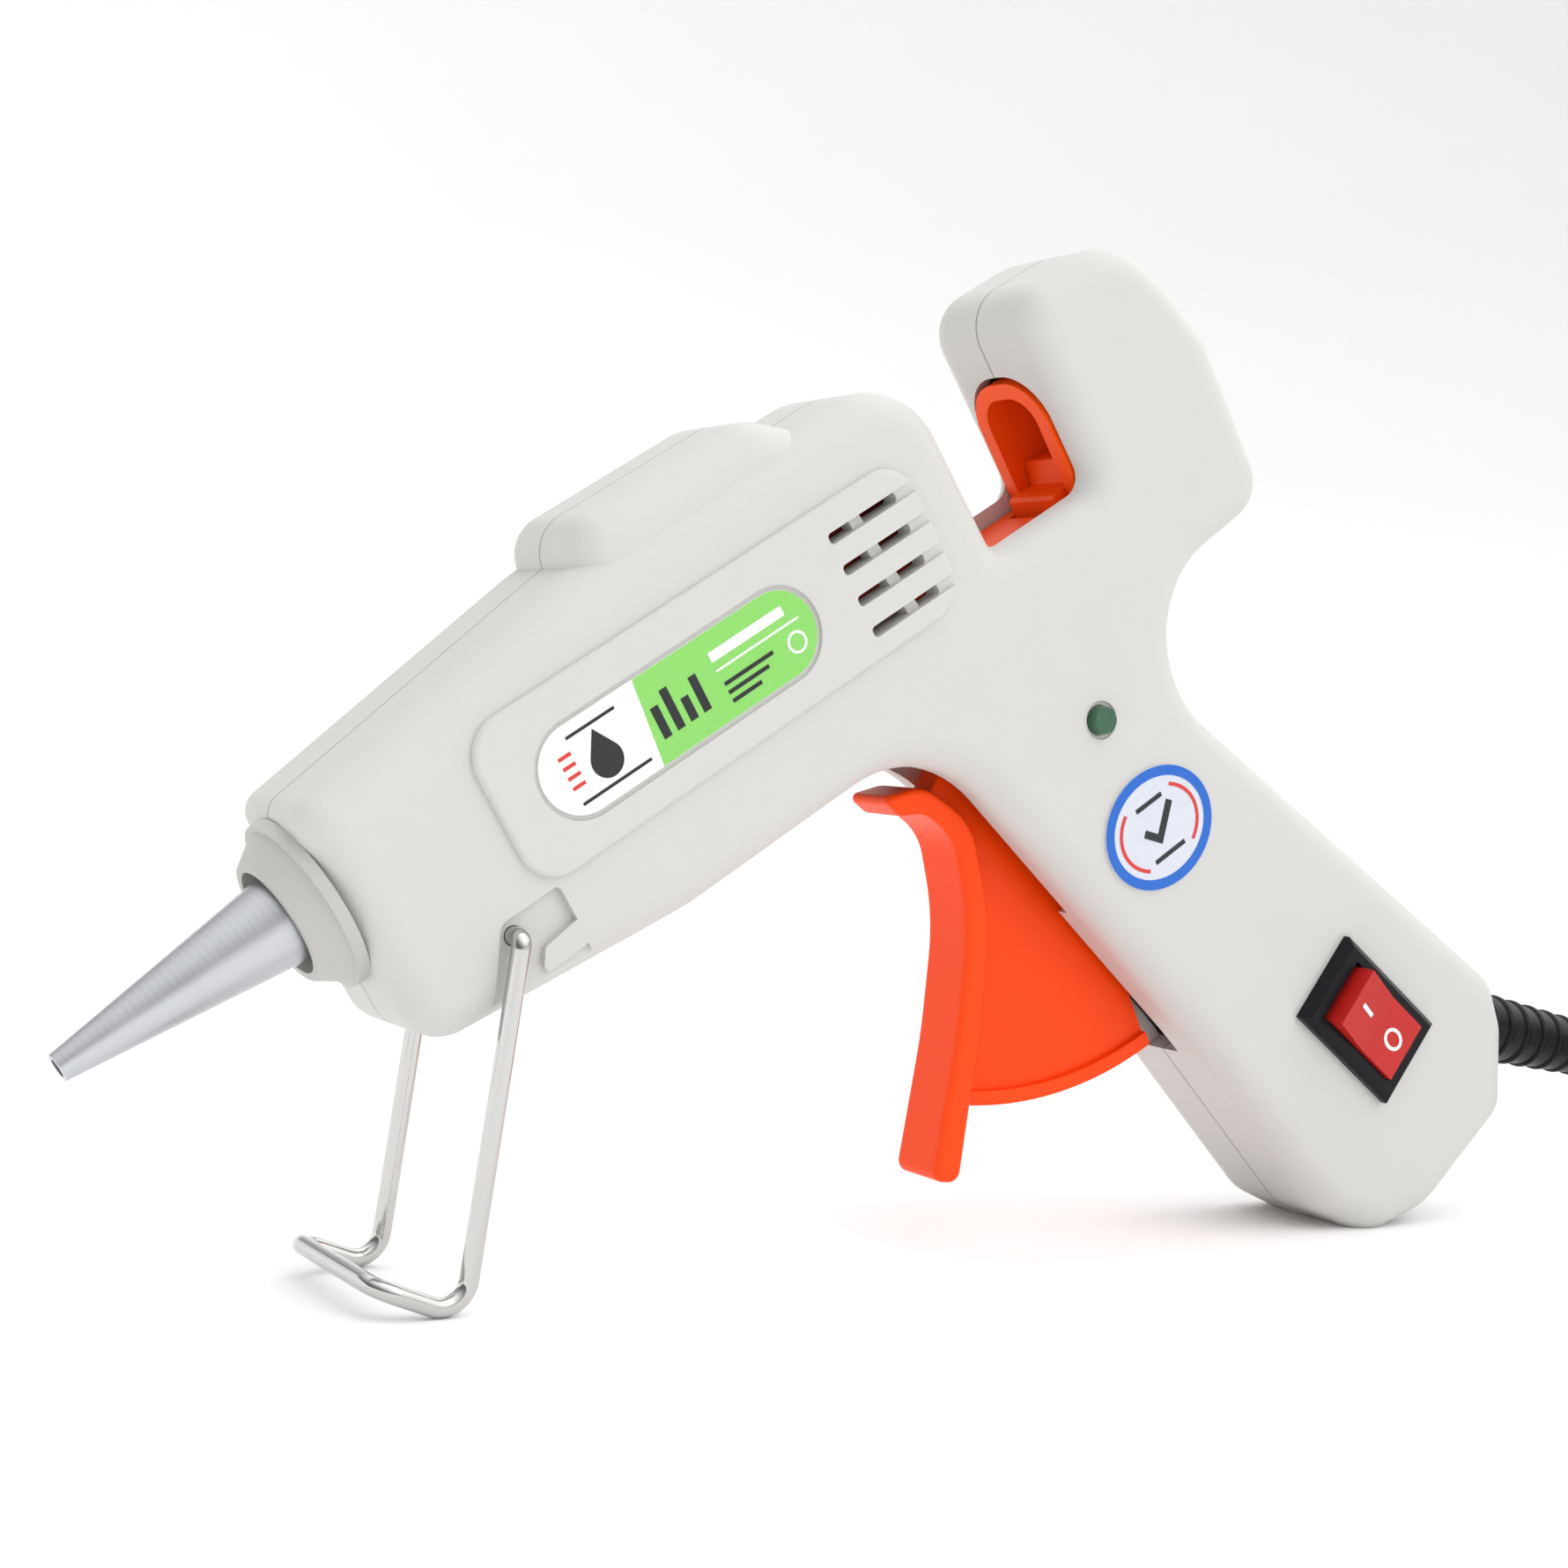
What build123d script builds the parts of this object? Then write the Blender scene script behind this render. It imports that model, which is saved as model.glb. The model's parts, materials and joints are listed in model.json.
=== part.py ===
from build123d import *
from math import asin, atan2, cos, degrees, hypot, pi, radians, sin, tan
import os

os.makedirs("parts", exist_ok=True)

# The gun is drawn with its barrel level: X runs back from the nozzle's tip, Y to the far side,
# Z up, and the halves part at Y = 0. At the end everything is tipped onto the stand.

# ---------------------------------------------------------------- driving dimensions, mm
# housing
HALF_WIDTH = 9.0            # parting face to the outside of the side wall
WALL = 2.0
EDGE_ROUND = 3.4            # rounding between the side walls and the outline
BUMP_HALF_WIDTH = 8.2
BUMP_ROUND = 3.4
PANEL_RISE = 0.7            # raised panel on each side
PANEL_ROUND = 4.0
PANEL_LEFT_X = 41.9
PANEL_RIGHT_X = 95.4
PANEL_HALF_HEIGHT = 8.1
VENT_X = 88.6               # middle of the vent slots
VENT_LENGTH = 9.0
VENT_HEIGHT = 1.15
VENT_PITCH = 3.38
VENT_TAIL = 2.6             # groove running on behind each slot
VENT_BAR = 1.4              # leaning bar behind the slots
BOSS_RADIUS = 2.7           # round each screw
CRADLE_THICKNESS = 1.6      # ribs that hold the heater
FRONT_X = 26.2              # front face of the housing
BARREL_BACK_X = 102.0       # rear wall of the barrel housing, front of the saddle gap
HEAD_FRONT_X = 115.8        # front wall of the rear head
HEAD_BACK_X = 136.4
BARREL_TOP_Z = 15.0
HEAD_TOP_Z = 14.9
BARREL_BOTTOM_Z = -18.2
SADDLE_Z = -6.0             # floor of the saddle gap
HANDLE_FOOT_Z = -100.5
# heating
BORE_Z = 0.5                # axis of nozzle, heater and glue stick
STICK_DIAMETER = 7.0
STICK_PLAY = 0.9            # on the diameter, wherever the stick passes
NOZZLE_LENGTH = 23.4
NOZZLE_BASE_RADIUS = 4.3
NOZZLE_TIP_RADIUS = 1.35
NOZZLE_BORE_RADIUS = 0.9
THREAD_RADIUS = 3.2
THREAD_LENGTH = 7.0
HEATER_RADIUS = 5.6
HEATER_LENGTH = 46.0
INLET_BOSS = 6.0            # length of the collar round the glue stick's inlet
SKIRT = 2.8                 # collar's skirt inside the front wall
SPIGOT = 4.0                # heater end that the sleeve slips over
CHAMBER_HEIGHT = 3.7        # slot for the ceramic heater
CHAMBER_HALF = 3.4
FILM = 0.2                  # insulating film
# collar
COLLAR_RADIUS = 8.5
COLLAR_FRONT_RADIUS = 6.4
COLLAR_HOLE_RADIUS = 5.3
COLLAR_DEPTH = 3.8
# trigger
PIVOT_X = 99.0
PIVOT_Z = -22.8
WEB_RADIUS = 41.2           # pivot to the arched rim of the web
TRIGGER_WIDTH = 7.4
WEB_THICKNESS = 3.2
RIM_THICKNESS = 4.6
PIN_RADIUS = 1.5
SQUEEZE = 20.0              # degrees from rest to fully squeezed
ARM_LENGTH = 11.6           # pivot to the drive peg in the carriage
PEG_RADIUS = 1.2
HUB_RADIUS = 3.8
COIL_WIRE = 0.35            # radius of the return spring's wire
# carriage
ARCH_HALF_WIDTH = 5.8
ARCH_WALL = 1.7
ARCH_LENGTH = 12.0
PLATE_THICKNESS = 1.6
CARRIAGE_FRONT_X = 97.6
CARRIAGE_BACK_X = 131.0
RAIL_LIP = 0.6              # how far the carriage's plate lies on each rail
# stand
WIRE_RADIUS = 0.9
STAND_PIVOT_X = 38.2
STAND_PIVOT_Z = -10.2
LEG_LENGTH = 33.8           # pivot to the corner of the foot
LEG_ANGLE = 230.0           # direction of the leg, degrees from +X towards +Z
FOOT_LENGTH = 8.9
FOOT_ANGLE = 126.0
WIRE_BEND = 2.6
PIVOT_BEND = 1.0
# switch, light and labels, on the near side
SWITCH_X = 119.7
SWITCH_Z = -75.0
SWITCH_LENGTH = 16.8
SWITCH_WIDTH = 10.9
SWITCH_ANGLE = 20.6         # long side from the vertical
ROCKER_LENGTH = 12.0
ROCKER_WIDTH = 7.2
ROCKER_TILT = 6.0
FRAME_RISE = 1.5            # switch frame over the wall
FRAME_BODY_LENGTH = 14.2
FRAME_BODY_WIDTH = 9.0
LIGHT_X = 104.3
LIGHT_Z = -27.1
LIGHT_RADIUS = 1.55
STICKER_X = 105.3
STICKER_Z = -40.7
STICKER_LENGTH = 14.6
STICKER_HEIGHT = 12.6
FOIL = 0.25                 # thickness of label and sticker
LABEL_LENGTH = 32.4
LABEL_HEIGHT = 8.6
LABEL_X = 62.9
LABEL_Z = -0.3
# cord
CORD_DIAMETER = 5.4
RELIEF_RADIUS = 4.4
RELIEF_LENGTH = 24.0
RELIEF_ANGLE = -43.5        # direction in which it leaves, degrees from +X towards +Z
EXIT_X = 138.6
EXIT_Z = -89.4
RELIEF_NECK_RADIUS = 3.3
GROMMET = 1.2               # flange of the strain relief inside the wall
CLAMP_BACK = 12.0           # from the cord's exit to its clamp, along the cord
CLAMP_REACH = 4.0           # cord axis to each clamp screw
LEAD_RADIUS = 0.5
HANK_X = 127.0              # near end of the put-away hank, from the origin
HANK_Y = -13.6
HANK_LENGTH = 96.0
HANK_FOLD = 16.5            # inner turns' radius at the folds
HANK_LAYERS = 3
TIE_WIDTH = 9.0
TIE_THICKNESS = 0.5
PLUG_X = 150.0              # face with the pins
PLUG_Y = -24.5
PLUG_LENGTH = 31.0
PLUG_WIDTH = 26.0
PLUG_HEIGHT = 14.0
PLUG_TAIL = 12.0
PLUG_CORD_Z = 4.6           # cord's axis over the plug's flat side
PIN_LENGTH = 19.0
PIN_DIAMETER = 4.0
PIN_SPACING = 18.6
REST_X = 110.7              # where the handle's heel stands on the table
REST_Z = -97.6
# fits
PLAY = 0.3                  # between parts that pass each other
PIN_PLAY = 0.06             # radial, of running fits
SCREW_RADIUS = 1.2
SCREW_HEAD_RADIUS = 2.3
SCREW_SINK = 1.6


# ---------------------------------------------------------------- helpers
def outline(*corners):
    """Closed face in the XZ plane from corners given as (x, z, radius)."""
    points = [(x, z) for x, z, _ in corners]
    radii = [r for _, _, r in corners]
    return make_face(Plane.XZ * FilletPolyline(*points, radius=radii, close=True))


def slab(face, y_low, y_high):
    """Extrude a face of the XZ plane between two values of Y."""
    return Pos(0, y_low, 0) * extrude(face, amount=y_high - y_low, dir=(0, 1, 0))


def block(x0, x1, y0, y1, z0, z1):
    return Pos((x0 + x1) / 2, (y0 + y1) / 2, (z0 + z1) / 2) * Box(x1 - x0, y1 - y0, z1 - z0)


def rod_x(x0, x1, radius, y=0.0, z=BORE_Z):
    return Pos((x0 + x1) / 2, y, z) * Rot(0, 90, 0) * Cylinder(radius, x1 - x0)


def rod_y(x, z, radius, y0, y1):
    return Pos(x, (y0 + y1) / 2, z) * Rot(90, 0, 0) * Cylinder(radius, y1 - y0)


def polar(x, z, radius, angle):
    """Point of the XZ plane at a distance and an angle from +X towards +Z."""
    return x + radius * cos(radians(angle)), z + radius * sin(radians(angle))


def side_plate(x, z, length, height, angle, y0, y1, corner):
    """Rounded rectangle on a side wall; its long side leans from +X by the angle."""
    sketch = RectangleRounded(length, height, corner) if corner else Rectangle(length, height)
    face = Plane.XZ * Pos(x, z) * Rot(0, 0, angle) * sketch
    return slab(face, y0, y1)


def mirrored(shape):
    return mirror(shape, about=Plane.XZ)


# ---------------------------------------------------------------- housing outline
HANDLE_FRONT_TOP = (86.4, BARREL_BOTTOM_Z)
BODY = [
    (FRONT_X, 10.0, 2.2), (60.5, BARREL_TOP_Z, 30.0), (101.2, BARREL_TOP_Z, 8.0),
    (BARREL_BACK_X, SADDLE_Z, 1.2), (HEAD_FRONT_X, SADDLE_Z, 2.2), (HEAD_FRONT_X - 0.4, HEAD_TOP_Z, 4.5),
    (131.0, HEAD_TOP_Z, 8.0), (134.8, 7.0, 6.0), (HEAD_BACK_X + 0.4, 0.5, 6.0),
    (HEAD_BACK_X, -18.3, 4.6), (116.0, -19.8, 11.0), (116.3, -33.0, 12.0),
    (139.9, -83.2, 5.5), (138.8, -89.0, 5.5), (133.9, -97.6, 4.0), (118.5, HANDLE_FOOT_Z, 9.0),
    (109.8, -98.2, 6.0), (105.0, -91.0, 6.0), (99.7, -65.0, 60.0),
    (*HANDLE_FRONT_TOP, 13.0), (55.0, BARREL_BOTTOM_Z, 30.0), (FRONT_X, -15.0, 4.4),
]
BUMP = [(58.6, 6.0, 0), (61.4, 18.4, 4.0), (83.4, 18.4, 6.0), (91.5, 12.0, 6.0), (93.0, 6.0, 0)]


def hull(outline_points, half_width, rounding):
    """Solid with the outline, both side edges rounded."""
    solid = slab(outline(*outline_points), -half_width, half_width)
    sides = solid.edges().filter_by(lambda e: abs(abs(e.center().Y) - half_width) < 0.01)
    return fillet(sides, rounding) if rounding else solid


def cavity(outline_points, half_width):
    face = offset(outline(*outline_points), amount=-WALL, kind=Kind.INTERSECTION)
    return slab(face, -half_width, half_width)


# ---------------------------------------------------------------- how the gun stands
def wire_corner():
    """Centre of the stand's lower bend."""
    x, z = polar(STAND_PIVOT_X, STAND_PIVOT_Z, LEG_LENGTH, LEG_ANGLE)
    half_turn = radians((LEG_ANGLE - FOOT_ANGLE) / 2)
    inward = (LEG_ANGLE - 180 + FOOT_ANGLE) / 2
    return polar(x, z, WIRE_BEND / cos(half_turn), inward)


bend_x, bend_z = wire_corner()
rest_reach = hypot(REST_X - bend_x, REST_Z - bend_z)
rest_bearing = degrees(atan2(REST_Z - bend_z, REST_X - bend_x))
TILT = -rest_bearing - degrees(asin((WIRE_BEND + WIRE_RADIUS) / rest_reach))
onto_table = Rot(0, -TILT, 0)
off_table = Rot(0, TILT, 0)

# ---------------------------------------------------------------- housing, both halves
INNER = HALF_WIDTH - WALL
STICK_HOLE = (STICK_DIAMETER + STICK_PLAY) / 2
PLATE_TOP_Z = SADDLE_Z - WALL + 0.3
PLATE_BOTTOM_Z = PLATE_TOP_Z - PLATE_THICKNESS
CHANNEL_HALF = ARCH_HALF_WIDTH + PLAY
PEG_Z = PIVOT_Z + ARM_LENGTH * cos(radians(SQUEEZE / 2))
STROKE = 2 * ARM_LENGTH * sin(radians(SQUEEZE / 2))
ARCH_FRONT_X = HEAD_FRONT_X - 0.5
ARCH_TOP_Z = BORE_Z + ARCH_HALF_WIDTH
EAR_Y = ARCH_HALF_WIDTH - RAIL_LIP - PLAY
SCREW_PLACES = [(41.5, -13.4), (109.5, -14.5), (130.5, -13.0), (130.2, 9.6), (111.5, -50.0), (113.0, -93.6)]
CRADLE_PLACES = (33.0, 68.2)
LEG_Y = HALF_WIDTH + WIRE_RADIUS + PLAY

outside = hull(BODY, HALF_WIDTH, EDGE_ROUND) + hull(BUMP, BUMP_HALF_WIDTH, BUMP_ROUND)
panel_x = (PANEL_LEFT_X + PANEL_RIGHT_X) / 2
panel = side_plate(panel_x, 0, PANEL_RIGHT_X - PANEL_LEFT_X, 2 * PANEL_HALF_HEIGHT, 0,
                   -HALF_WIDTH - PANEL_RISE, -INNER, PANEL_ROUND)
outer_rim = panel.edges().filter_by(lambda e: abs(e.center().Y + HALF_WIDTH + PANEL_RISE) < 0.01)
panel = fillet(outer_rim, PANEL_RISE * 0.8)
outside += panel + mirrored(panel)
inside = cavity(BODY, INNER) + cavity(BUMP, BUMP_HALF_WIDTH - WALL)


at_exit = Pos(EXIT_X, 0, EXIT_Z) * Rot(0, -RELIEF_ANGLE, 0)


def vents(y0, y1):
    """Four slots through the wall, each with a shallow groove running out behind it."""
    cut = Part()
    for row in range(4):
        z = LABEL_Z + (row - 1.5) * VENT_PITCH
        cut += side_plate(VENT_X, z, VENT_LENGTH, VENT_HEIGHT, 0, y0, y1, 0.45)
        cut += side_plate(VENT_X + VENT_TAIL / 2, z, VENT_LENGTH + VENT_TAIL, VENT_HEIGHT, 0,
                          y0, y0 + 0.5, 0.45)
    return cut - side_plate(VENT_X + 0.3, LABEL_Z, 5 * VENT_PITCH, VENT_BAR, 99, y0 + 0.9, y1, 0)


def stand_pocket():
    """Shallow recess round the pivot with two arms, one down the leg and one to the rear."""
    face = outline((32.2, -16.0, 0), (37.4, -8.4, 1.2), (44.0, -8.4, 0.6), (44.0, -16.5, 0.4), (36.0, -19.0, 0))
    rib = outline((40.0, -12.6, 0.7), (45.0, -12.0, 0), (45.0, -14.6, 0), (38.6, -15.0, 0.7))
    return slab(face, -HALF_WIDTH - 1, -HALF_WIDTH + 0.8) - slab(rib, -HALF_WIDTH - 1, -HALF_WIDTH + 1)


def trigger_slot():
    """Slot in the handle's front: wide for the finger bar at the top, narrow for the web below."""
    wide = outline((78.0, -14.5, 0), (96.0, -14.5, 0), (97.0, -44.5, 2.5), (84.0, -44.5, 0))
    narrow = outline((84.0, -30.0, 0), (96.0, -30.0, 0), (103.5, -66.8, 1.2), (94.0, -66.8, 0))
    half = TRIGGER_WIDTH / 2 + PLAY
    half_narrow = RIM_THICKNESS / 2 + PLAY
    return slab(wide, -half, half) + slab(narrow, -half_narrow, half_narrow)


def openings():
    """Everything cut through both halves."""
    cut = rod_x(FRONT_X - 1, FRONT_X + WALL + 1, HEATER_RADIUS + 0.5)
    cut += rod_x(BARREL_BACK_X - WALL - 1, BARREL_BACK_X + 1, STICK_HOLE + 0.4)
    cut += rod_x(HEAD_BACK_X - INLET_BOSS - 1, HEAD_BACK_X + 2, STICK_HOLE)
    cut += block(BARREL_BACK_X - WALL - 1, HEAD_FRONT_X + WALL + 1, -CHANNEL_HALF, CHANNEL_HALF,
                 PLATE_BOTTOM_Z - 0.5, SADDLE_Z + 0.4)
    arch = outline((-CHANNEL_HALF, PLATE_BOTTOM_Z, 0), (-CHANNEL_HALF, ARCH_TOP_Z + 0.7, CHANNEL_HALF - 0.8),
                   (CHANNEL_HALF, ARCH_TOP_Z + 0.7, CHANNEL_HALF - 0.8), (CHANNEL_HALF, PLATE_BOTTOM_Z, 0))
    tunnel = Rot(0, 0, 90) * slab(arch, -2, 2)
    cut += Pos(HEAD_FRONT_X + 0.6, 0, 0) * tunnel
    cut += trigger_slot()
    return cut + at_exit * rod_x(-8.0, 8.0, RELIEF_NECK_RADIUS + 0.05, 0, 0)


def inner_fittings():
    """Bosses, heater cradles, carriage rails and cord posts, each reaching the parting face."""
    parts = Part()
    for x, z in SCREW_PLACES:
        parts += rod_y(x, z, BOSS_RADIUS, -INNER - 0.5, INNER + 0.5)
    parts += rod_y(PIVOT_X, PIVOT_Z, PIN_RADIUS + 1.6, -INNER - 0.5, -WEB_THICKNESS / 2 - 3.2)
    parts += rod_y(PIVOT_X, PIVOT_Z, PIN_RADIUS + 1.6, WEB_THICKNESS / 2 + 3.2, INNER + 0.5)
    for x in CRADLE_PLACES:
        parts += block(x, x + CRADLE_THICKNESS, -INNER - 0.5, INNER + 0.5, BARREL_BOTTOM_Z + 1.0, 10.0)
    for side in (-1, 1):
        y = sorted((side * (INNER - 2.5), side * (INNER + 0.5)))
        parts += rod_y(STAND_PIVOT_X, STAND_PIVOT_Z, 2.4, *y)
    rail = PLATE_BOTTOM_Z - 0.15
    for side in (-1, 1):
        y = sorted((side * (ARCH_HALF_WIDTH - RAIL_LIP), side * (INNER + 0.5)))
        parts += block(94.0, HEAD_BACK_X - WALL, y[0], y[1], rail - 1.4, rail)
    return parts


def through_fittings():
    """Holes in the inner fittings: heater, glue inlet sleeve, pins and screws."""
    cut = rod_x(30.0, 78.0, HEATER_RADIUS + PIN_PLAY)
    cut += block(CRADLE_PLACES[1] - 1, CRADLE_PLACES[1] + CRADLE_THICKNESS + 1, 4.2, INNER, -14.6, -7.6)
    cut += rod_y(PIVOT_X, PIVOT_Z, PIN_RADIUS, -INNER - 0.1, INNER + 0.1)
    for x, z in SCREW_PLACES:
        cut += rod_y(x, z, SCREW_RADIUS, -5.0, HALF_WIDTH + 1)
        cut += rod_y(x, z, SCREW_HEAD_RADIUS + 0.2, HALF_WIDTH - SCREW_SINK, HALF_WIDTH + 2)
    return cut


inlet_boss = rod_x(HEAD_BACK_X - INLET_BOSS, HEAD_BACK_X - 1.0, STICK_HOLE + 1.6)
bare = (outside - inside) + (inner_fittings() & outside) + inlet_boss
bare -= openings() + through_fittings()
bare -= Pos(REST_X, 0, REST_Z) * off_table * block(-30, 30, -20, 20, -10, 0)
far_side = block(-50, 250, 0, 60, -200, 100)
near_side = block(-50, 250, -60, 0, -200, 100)


def both_side_cuts():
    """Pocket, pivot hole and vents, cut on the near side and mirrored onto the far side."""
    skin = -HALF_WIDTH - PANEL_RISE
    cut = vents(skin, -INNER + 0.5) + stand_pocket()
    return cut + rod_y(STAND_PIVOT_X, STAND_PIVOT_Z, WIRE_RADIUS + PIN_PLAY, -HALF_WIDTH - 1, -INNER + 3)


def near_side_cuts():
    skin = -HALF_WIDTH - PANEL_RISE
    cut = side_plate(LABEL_X, LABEL_Z, LABEL_LENGTH + 1, LABEL_HEIGHT + 1, 0, skin - 1, skin + 0.4,
                     LABEL_HEIGHT / 2 + 0.49)
    cut += rod_y(LIGHT_X, LIGHT_Z, LIGHT_RADIUS + PIN_PLAY, -HALF_WIDTH - 1, -INNER + 1)
    cut += rod_y(LIGHT_X, LIGHT_Z, LIGHT_RADIUS + 0.45, -HALF_WIDTH - 1, -HALF_WIDTH + 0.3)
    return cut + at_switch * block(-FRAME_BODY_WIDTH / 2, FRAME_BODY_WIDTH / 2, -HALF_WIDTH - 1, -INNER + 1,
                                   -FRAME_BODY_LENGTH / 2, FRAME_BODY_LENGTH / 2)


at_switch = Pos(SWITCH_X, 0, SWITCH_Z) * Rot(0, -SWITCH_ANGLE, 0)
clamp_x, clamp_z = polar(EXIT_X, EXIT_Z, CLAMP_BACK, RELIEF_ANGLE + 180)
at_clamp = Pos(clamp_x, 0, clamp_z) * Rot(0, -RELIEF_ANGLE, 0)
clamp_posts = Part()
for reach in (-CLAMP_REACH, CLAMP_REACH):
    clamp_posts += at_clamp * rod_y(0, reach, 1.7, -CORD_DIAMETER / 2, INNER + 0.5)
    clamp_posts -= at_clamp * rod_y(0, reach, 0.9, -10, INNER - 1)
tail_room = at_clamp * rod_x(-20, 30, CORD_DIAMETER / 2 + 0.1, 0, 0)

shared_cuts = both_side_cuts()
left_shell = (bare & near_side) - shared_cuts - near_side_cuts()
right_shell = (bare & far_side) - mirrored(shared_cuts) + ((clamp_posts & outside) - tail_room)


# ---------------------------------------------------------------- heating
def turned(points):
    """Solid of revolution about the bore's axis from (x, radius) corners."""
    face = make_face(Plane.XZ * Polyline(*points, close=True))
    return Pos(0, 0, BORE_Z) * revolve(face, Axis.X)


COLLAR_BACK_X = FRONT_X
HEATER_X = FRONT_X + SKIRT + 0.6
HEATER_END_X = HEATER_X + HEATER_LENGTH
SPIGOT_RADIUS = HEATER_RADIUS - 0.8
MELT_RADIUS = STICK_DIAMETER / 2 + 0.2

nozzle = turned([
    (0, NOZZLE_BORE_RADIUS), (0, NOZZLE_TIP_RADIUS), (NOZZLE_LENGTH, NOZZLE_BASE_RADIUS),
    (HEATER_X, NOZZLE_BASE_RADIUS), (HEATER_X, THREAD_RADIUS), (HEATER_X + THREAD_LENGTH, THREAD_RADIUS),
    (HEATER_X + THREAD_LENGTH, 2.2), (8.0, 1.6), (4.0, NOZZLE_BORE_RADIUS),
])
nozzle_collar = turned([
    (COLLAR_BACK_X - COLLAR_DEPTH, COLLAR_HOLE_RADIUS), (COLLAR_BACK_X - COLLAR_DEPTH, COLLAR_FRONT_RADIUS - 0.3),
    (COLLAR_BACK_X - COLLAR_DEPTH + 0.4, COLLAR_FRONT_RADIUS), (COLLAR_BACK_X - 1.2, COLLAR_RADIUS - 0.6),
    (COLLAR_BACK_X - 1.2, COLLAR_RADIUS), (COLLAR_BACK_X, COLLAR_RADIUS), (COLLAR_BACK_X, HEATER_RADIUS + 0.4),
    (COLLAR_BACK_X + SKIRT, HEATER_RADIUS + 0.4), (COLLAR_BACK_X + SKIRT, COLLAR_HOLE_RADIUS),
])
heater_barrel = turned([
    (HEATER_X, THREAD_RADIUS), (HEATER_X, HEATER_RADIUS), (HEATER_END_X - SPIGOT, HEATER_RADIUS),
    (HEATER_END_X - SPIGOT, SPIGOT_RADIUS), (HEATER_END_X, SPIGOT_RADIUS), (HEATER_END_X, MELT_RADIUS),
    (HEATER_X + THREAD_LENGTH + 5, MELT_RADIUS), (HEATER_X + THREAD_LENGTH, THREAD_RADIUS),
])
CHAMBER_X0, CHAMBER_X1 = 46.0, 66.0
CHAMBER_TOP_Z = BORE_Z - MELT_RADIUS - 2.2
chamber = block(CHAMBER_X0, CHAMBER_X1, -CHAMBER_HALF - 1.2, CHAMBER_HALF + 1.2,
                CHAMBER_TOP_Z - CHAMBER_HEIGHT - 1.4, BORE_Z)
chamber -= rod_x(0, 100, HEATER_RADIUS - 0.5)
slot = block(CHAMBER_X0 - 1, CHAMBER_X1 + 1, -CHAMBER_HALF, CHAMBER_HALF,
             CHAMBER_TOP_Z - CHAMBER_HEIGHT, CHAMBER_TOP_Z)
heater_barrel = heater_barrel + chamber - slot
ptc_z = CHAMBER_TOP_Z - FILM
heater_film = block(CHAMBER_X0, CHAMBER_X1, -CHAMBER_HALF, CHAMBER_HALF, ptc_z - 2.8, CHAMBER_TOP_Z)
ptc_heater = block(CHAMBER_X0 + 0.5, CHAMBER_X1 - 0.5, -CHAMBER_HALF + FILM, CHAMBER_HALF - FILM, ptc_z - 2.6, ptc_z)
heater_film -= block(CHAMBER_X0 - 1, CHAMBER_X1 + 1, -CHAMBER_HALF + FILM, CHAMBER_HALF - FILM, ptc_z - 2.6, ptc_z)
heater_wedge = block(CHAMBER_X0 - 1.5, CHAMBER_X1, -CHAMBER_HALF + 0.2, CHAMBER_HALF - 0.2,
                     CHAMBER_TOP_Z - CHAMBER_HEIGHT, ptc_z - 2.8)

SLEEVE_RADIUS = HEATER_RADIUS + 0.3
SLEEVE_END_X = BARREL_BACK_X - WALL - 0.8
inlet_sleeve = turned([
    (HEATER_END_X - SPIGOT, SPIGOT_RADIUS), (HEATER_END_X - SPIGOT, SLEEVE_RADIUS),
    (SLEEVE_END_X, SLEEVE_RADIUS - 1.0), (SLEEVE_END_X, STICK_HOLE),
    (HEATER_END_X + 0.2, STICK_HOLE), (HEATER_END_X, SPIGOT_RADIUS),
])
CLIP_X = HEATER_END_X - SPIGOT / 2
inlet_sleeve -= rod_x(CLIP_X - 0.8, CLIP_X + 0.8, 20) - rod_x(0, 200, SLEEVE_RADIUS - 0.3)
sleeve_clip = rod_x(CLIP_X - 0.7, CLIP_X + 0.7, SLEEVE_RADIUS + 0.3) - rod_x(0, 200, SLEEVE_RADIUS - 0.3)

# ---------------------------------------------------------------- trigger
bar = outline((80.4, -22.2, 0.6), (85.4, -23.7, 4.0), (88.7, -30.0, 7.0), (85.6, -40.4, 25.0),
              (78.0, -50.6, 60.0), (68.9, -61.6, 1.3), (66.3, -59.5, 1.3), (76.0, -48.6, 60.0),
              (83.2, -38.9, 25.0), (86.0, -30.3, 6.0), (84.2, -26.3, 3.0), (81.5, -25.0, 0.8))
bar_solid = slab(bar, -TRIGGER_WIDTH / 2, TRIGGER_WIDTH / 2)
bar_sides = bar_solid.edges().filter_by(lambda e: abs(abs(e.center().Y) - TRIGGER_WIDTH / 2) < 0.01)
bar_solid = fillet(bar_sides, 0.7)
HUB_HALF = WEB_THICKNESS / 2 + 3.0
web_end = polar(PIVOT_X, PIVOT_Z, WEB_RADIUS + 10, 267.0)
web_area = make_face(Plane.XZ * Polyline(
    (97.0, -19.8), (86.4, -25.6), (87.2, -30.8), (84.6, -40.0), (76.9, -50.2), (71.9, -56.3),
    (71.9, -75.0), web_end, (101.6, -26.0), (101.0, -19.8), close=True))
web = slab(web_area, -WEB_THICKNESS / 2, WEB_THICKNESS / 2) & rod_y(PIVOT_X, PIVOT_Z, WEB_RADIUS, -20, 20)
rim = slab(web_area, -RIM_THICKNESS / 2, RIM_THICKNESS / 2) & rod_y(PIVOT_X, PIVOT_Z, WEB_RADIUS, -20, 20)
rim -= rod_y(PIVOT_X, PIVOT_Z, WEB_RADIUS - 1.5, -20, 20)
hub = rod_y(PIVOT_X, PIVOT_Z, HUB_RADIUS, -HUB_HALF, HUB_HALF)
at_arm = Pos(PIVOT_X, 0, PIVOT_Z) * Rot(0, SQUEEZE / 2, 0)
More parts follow.
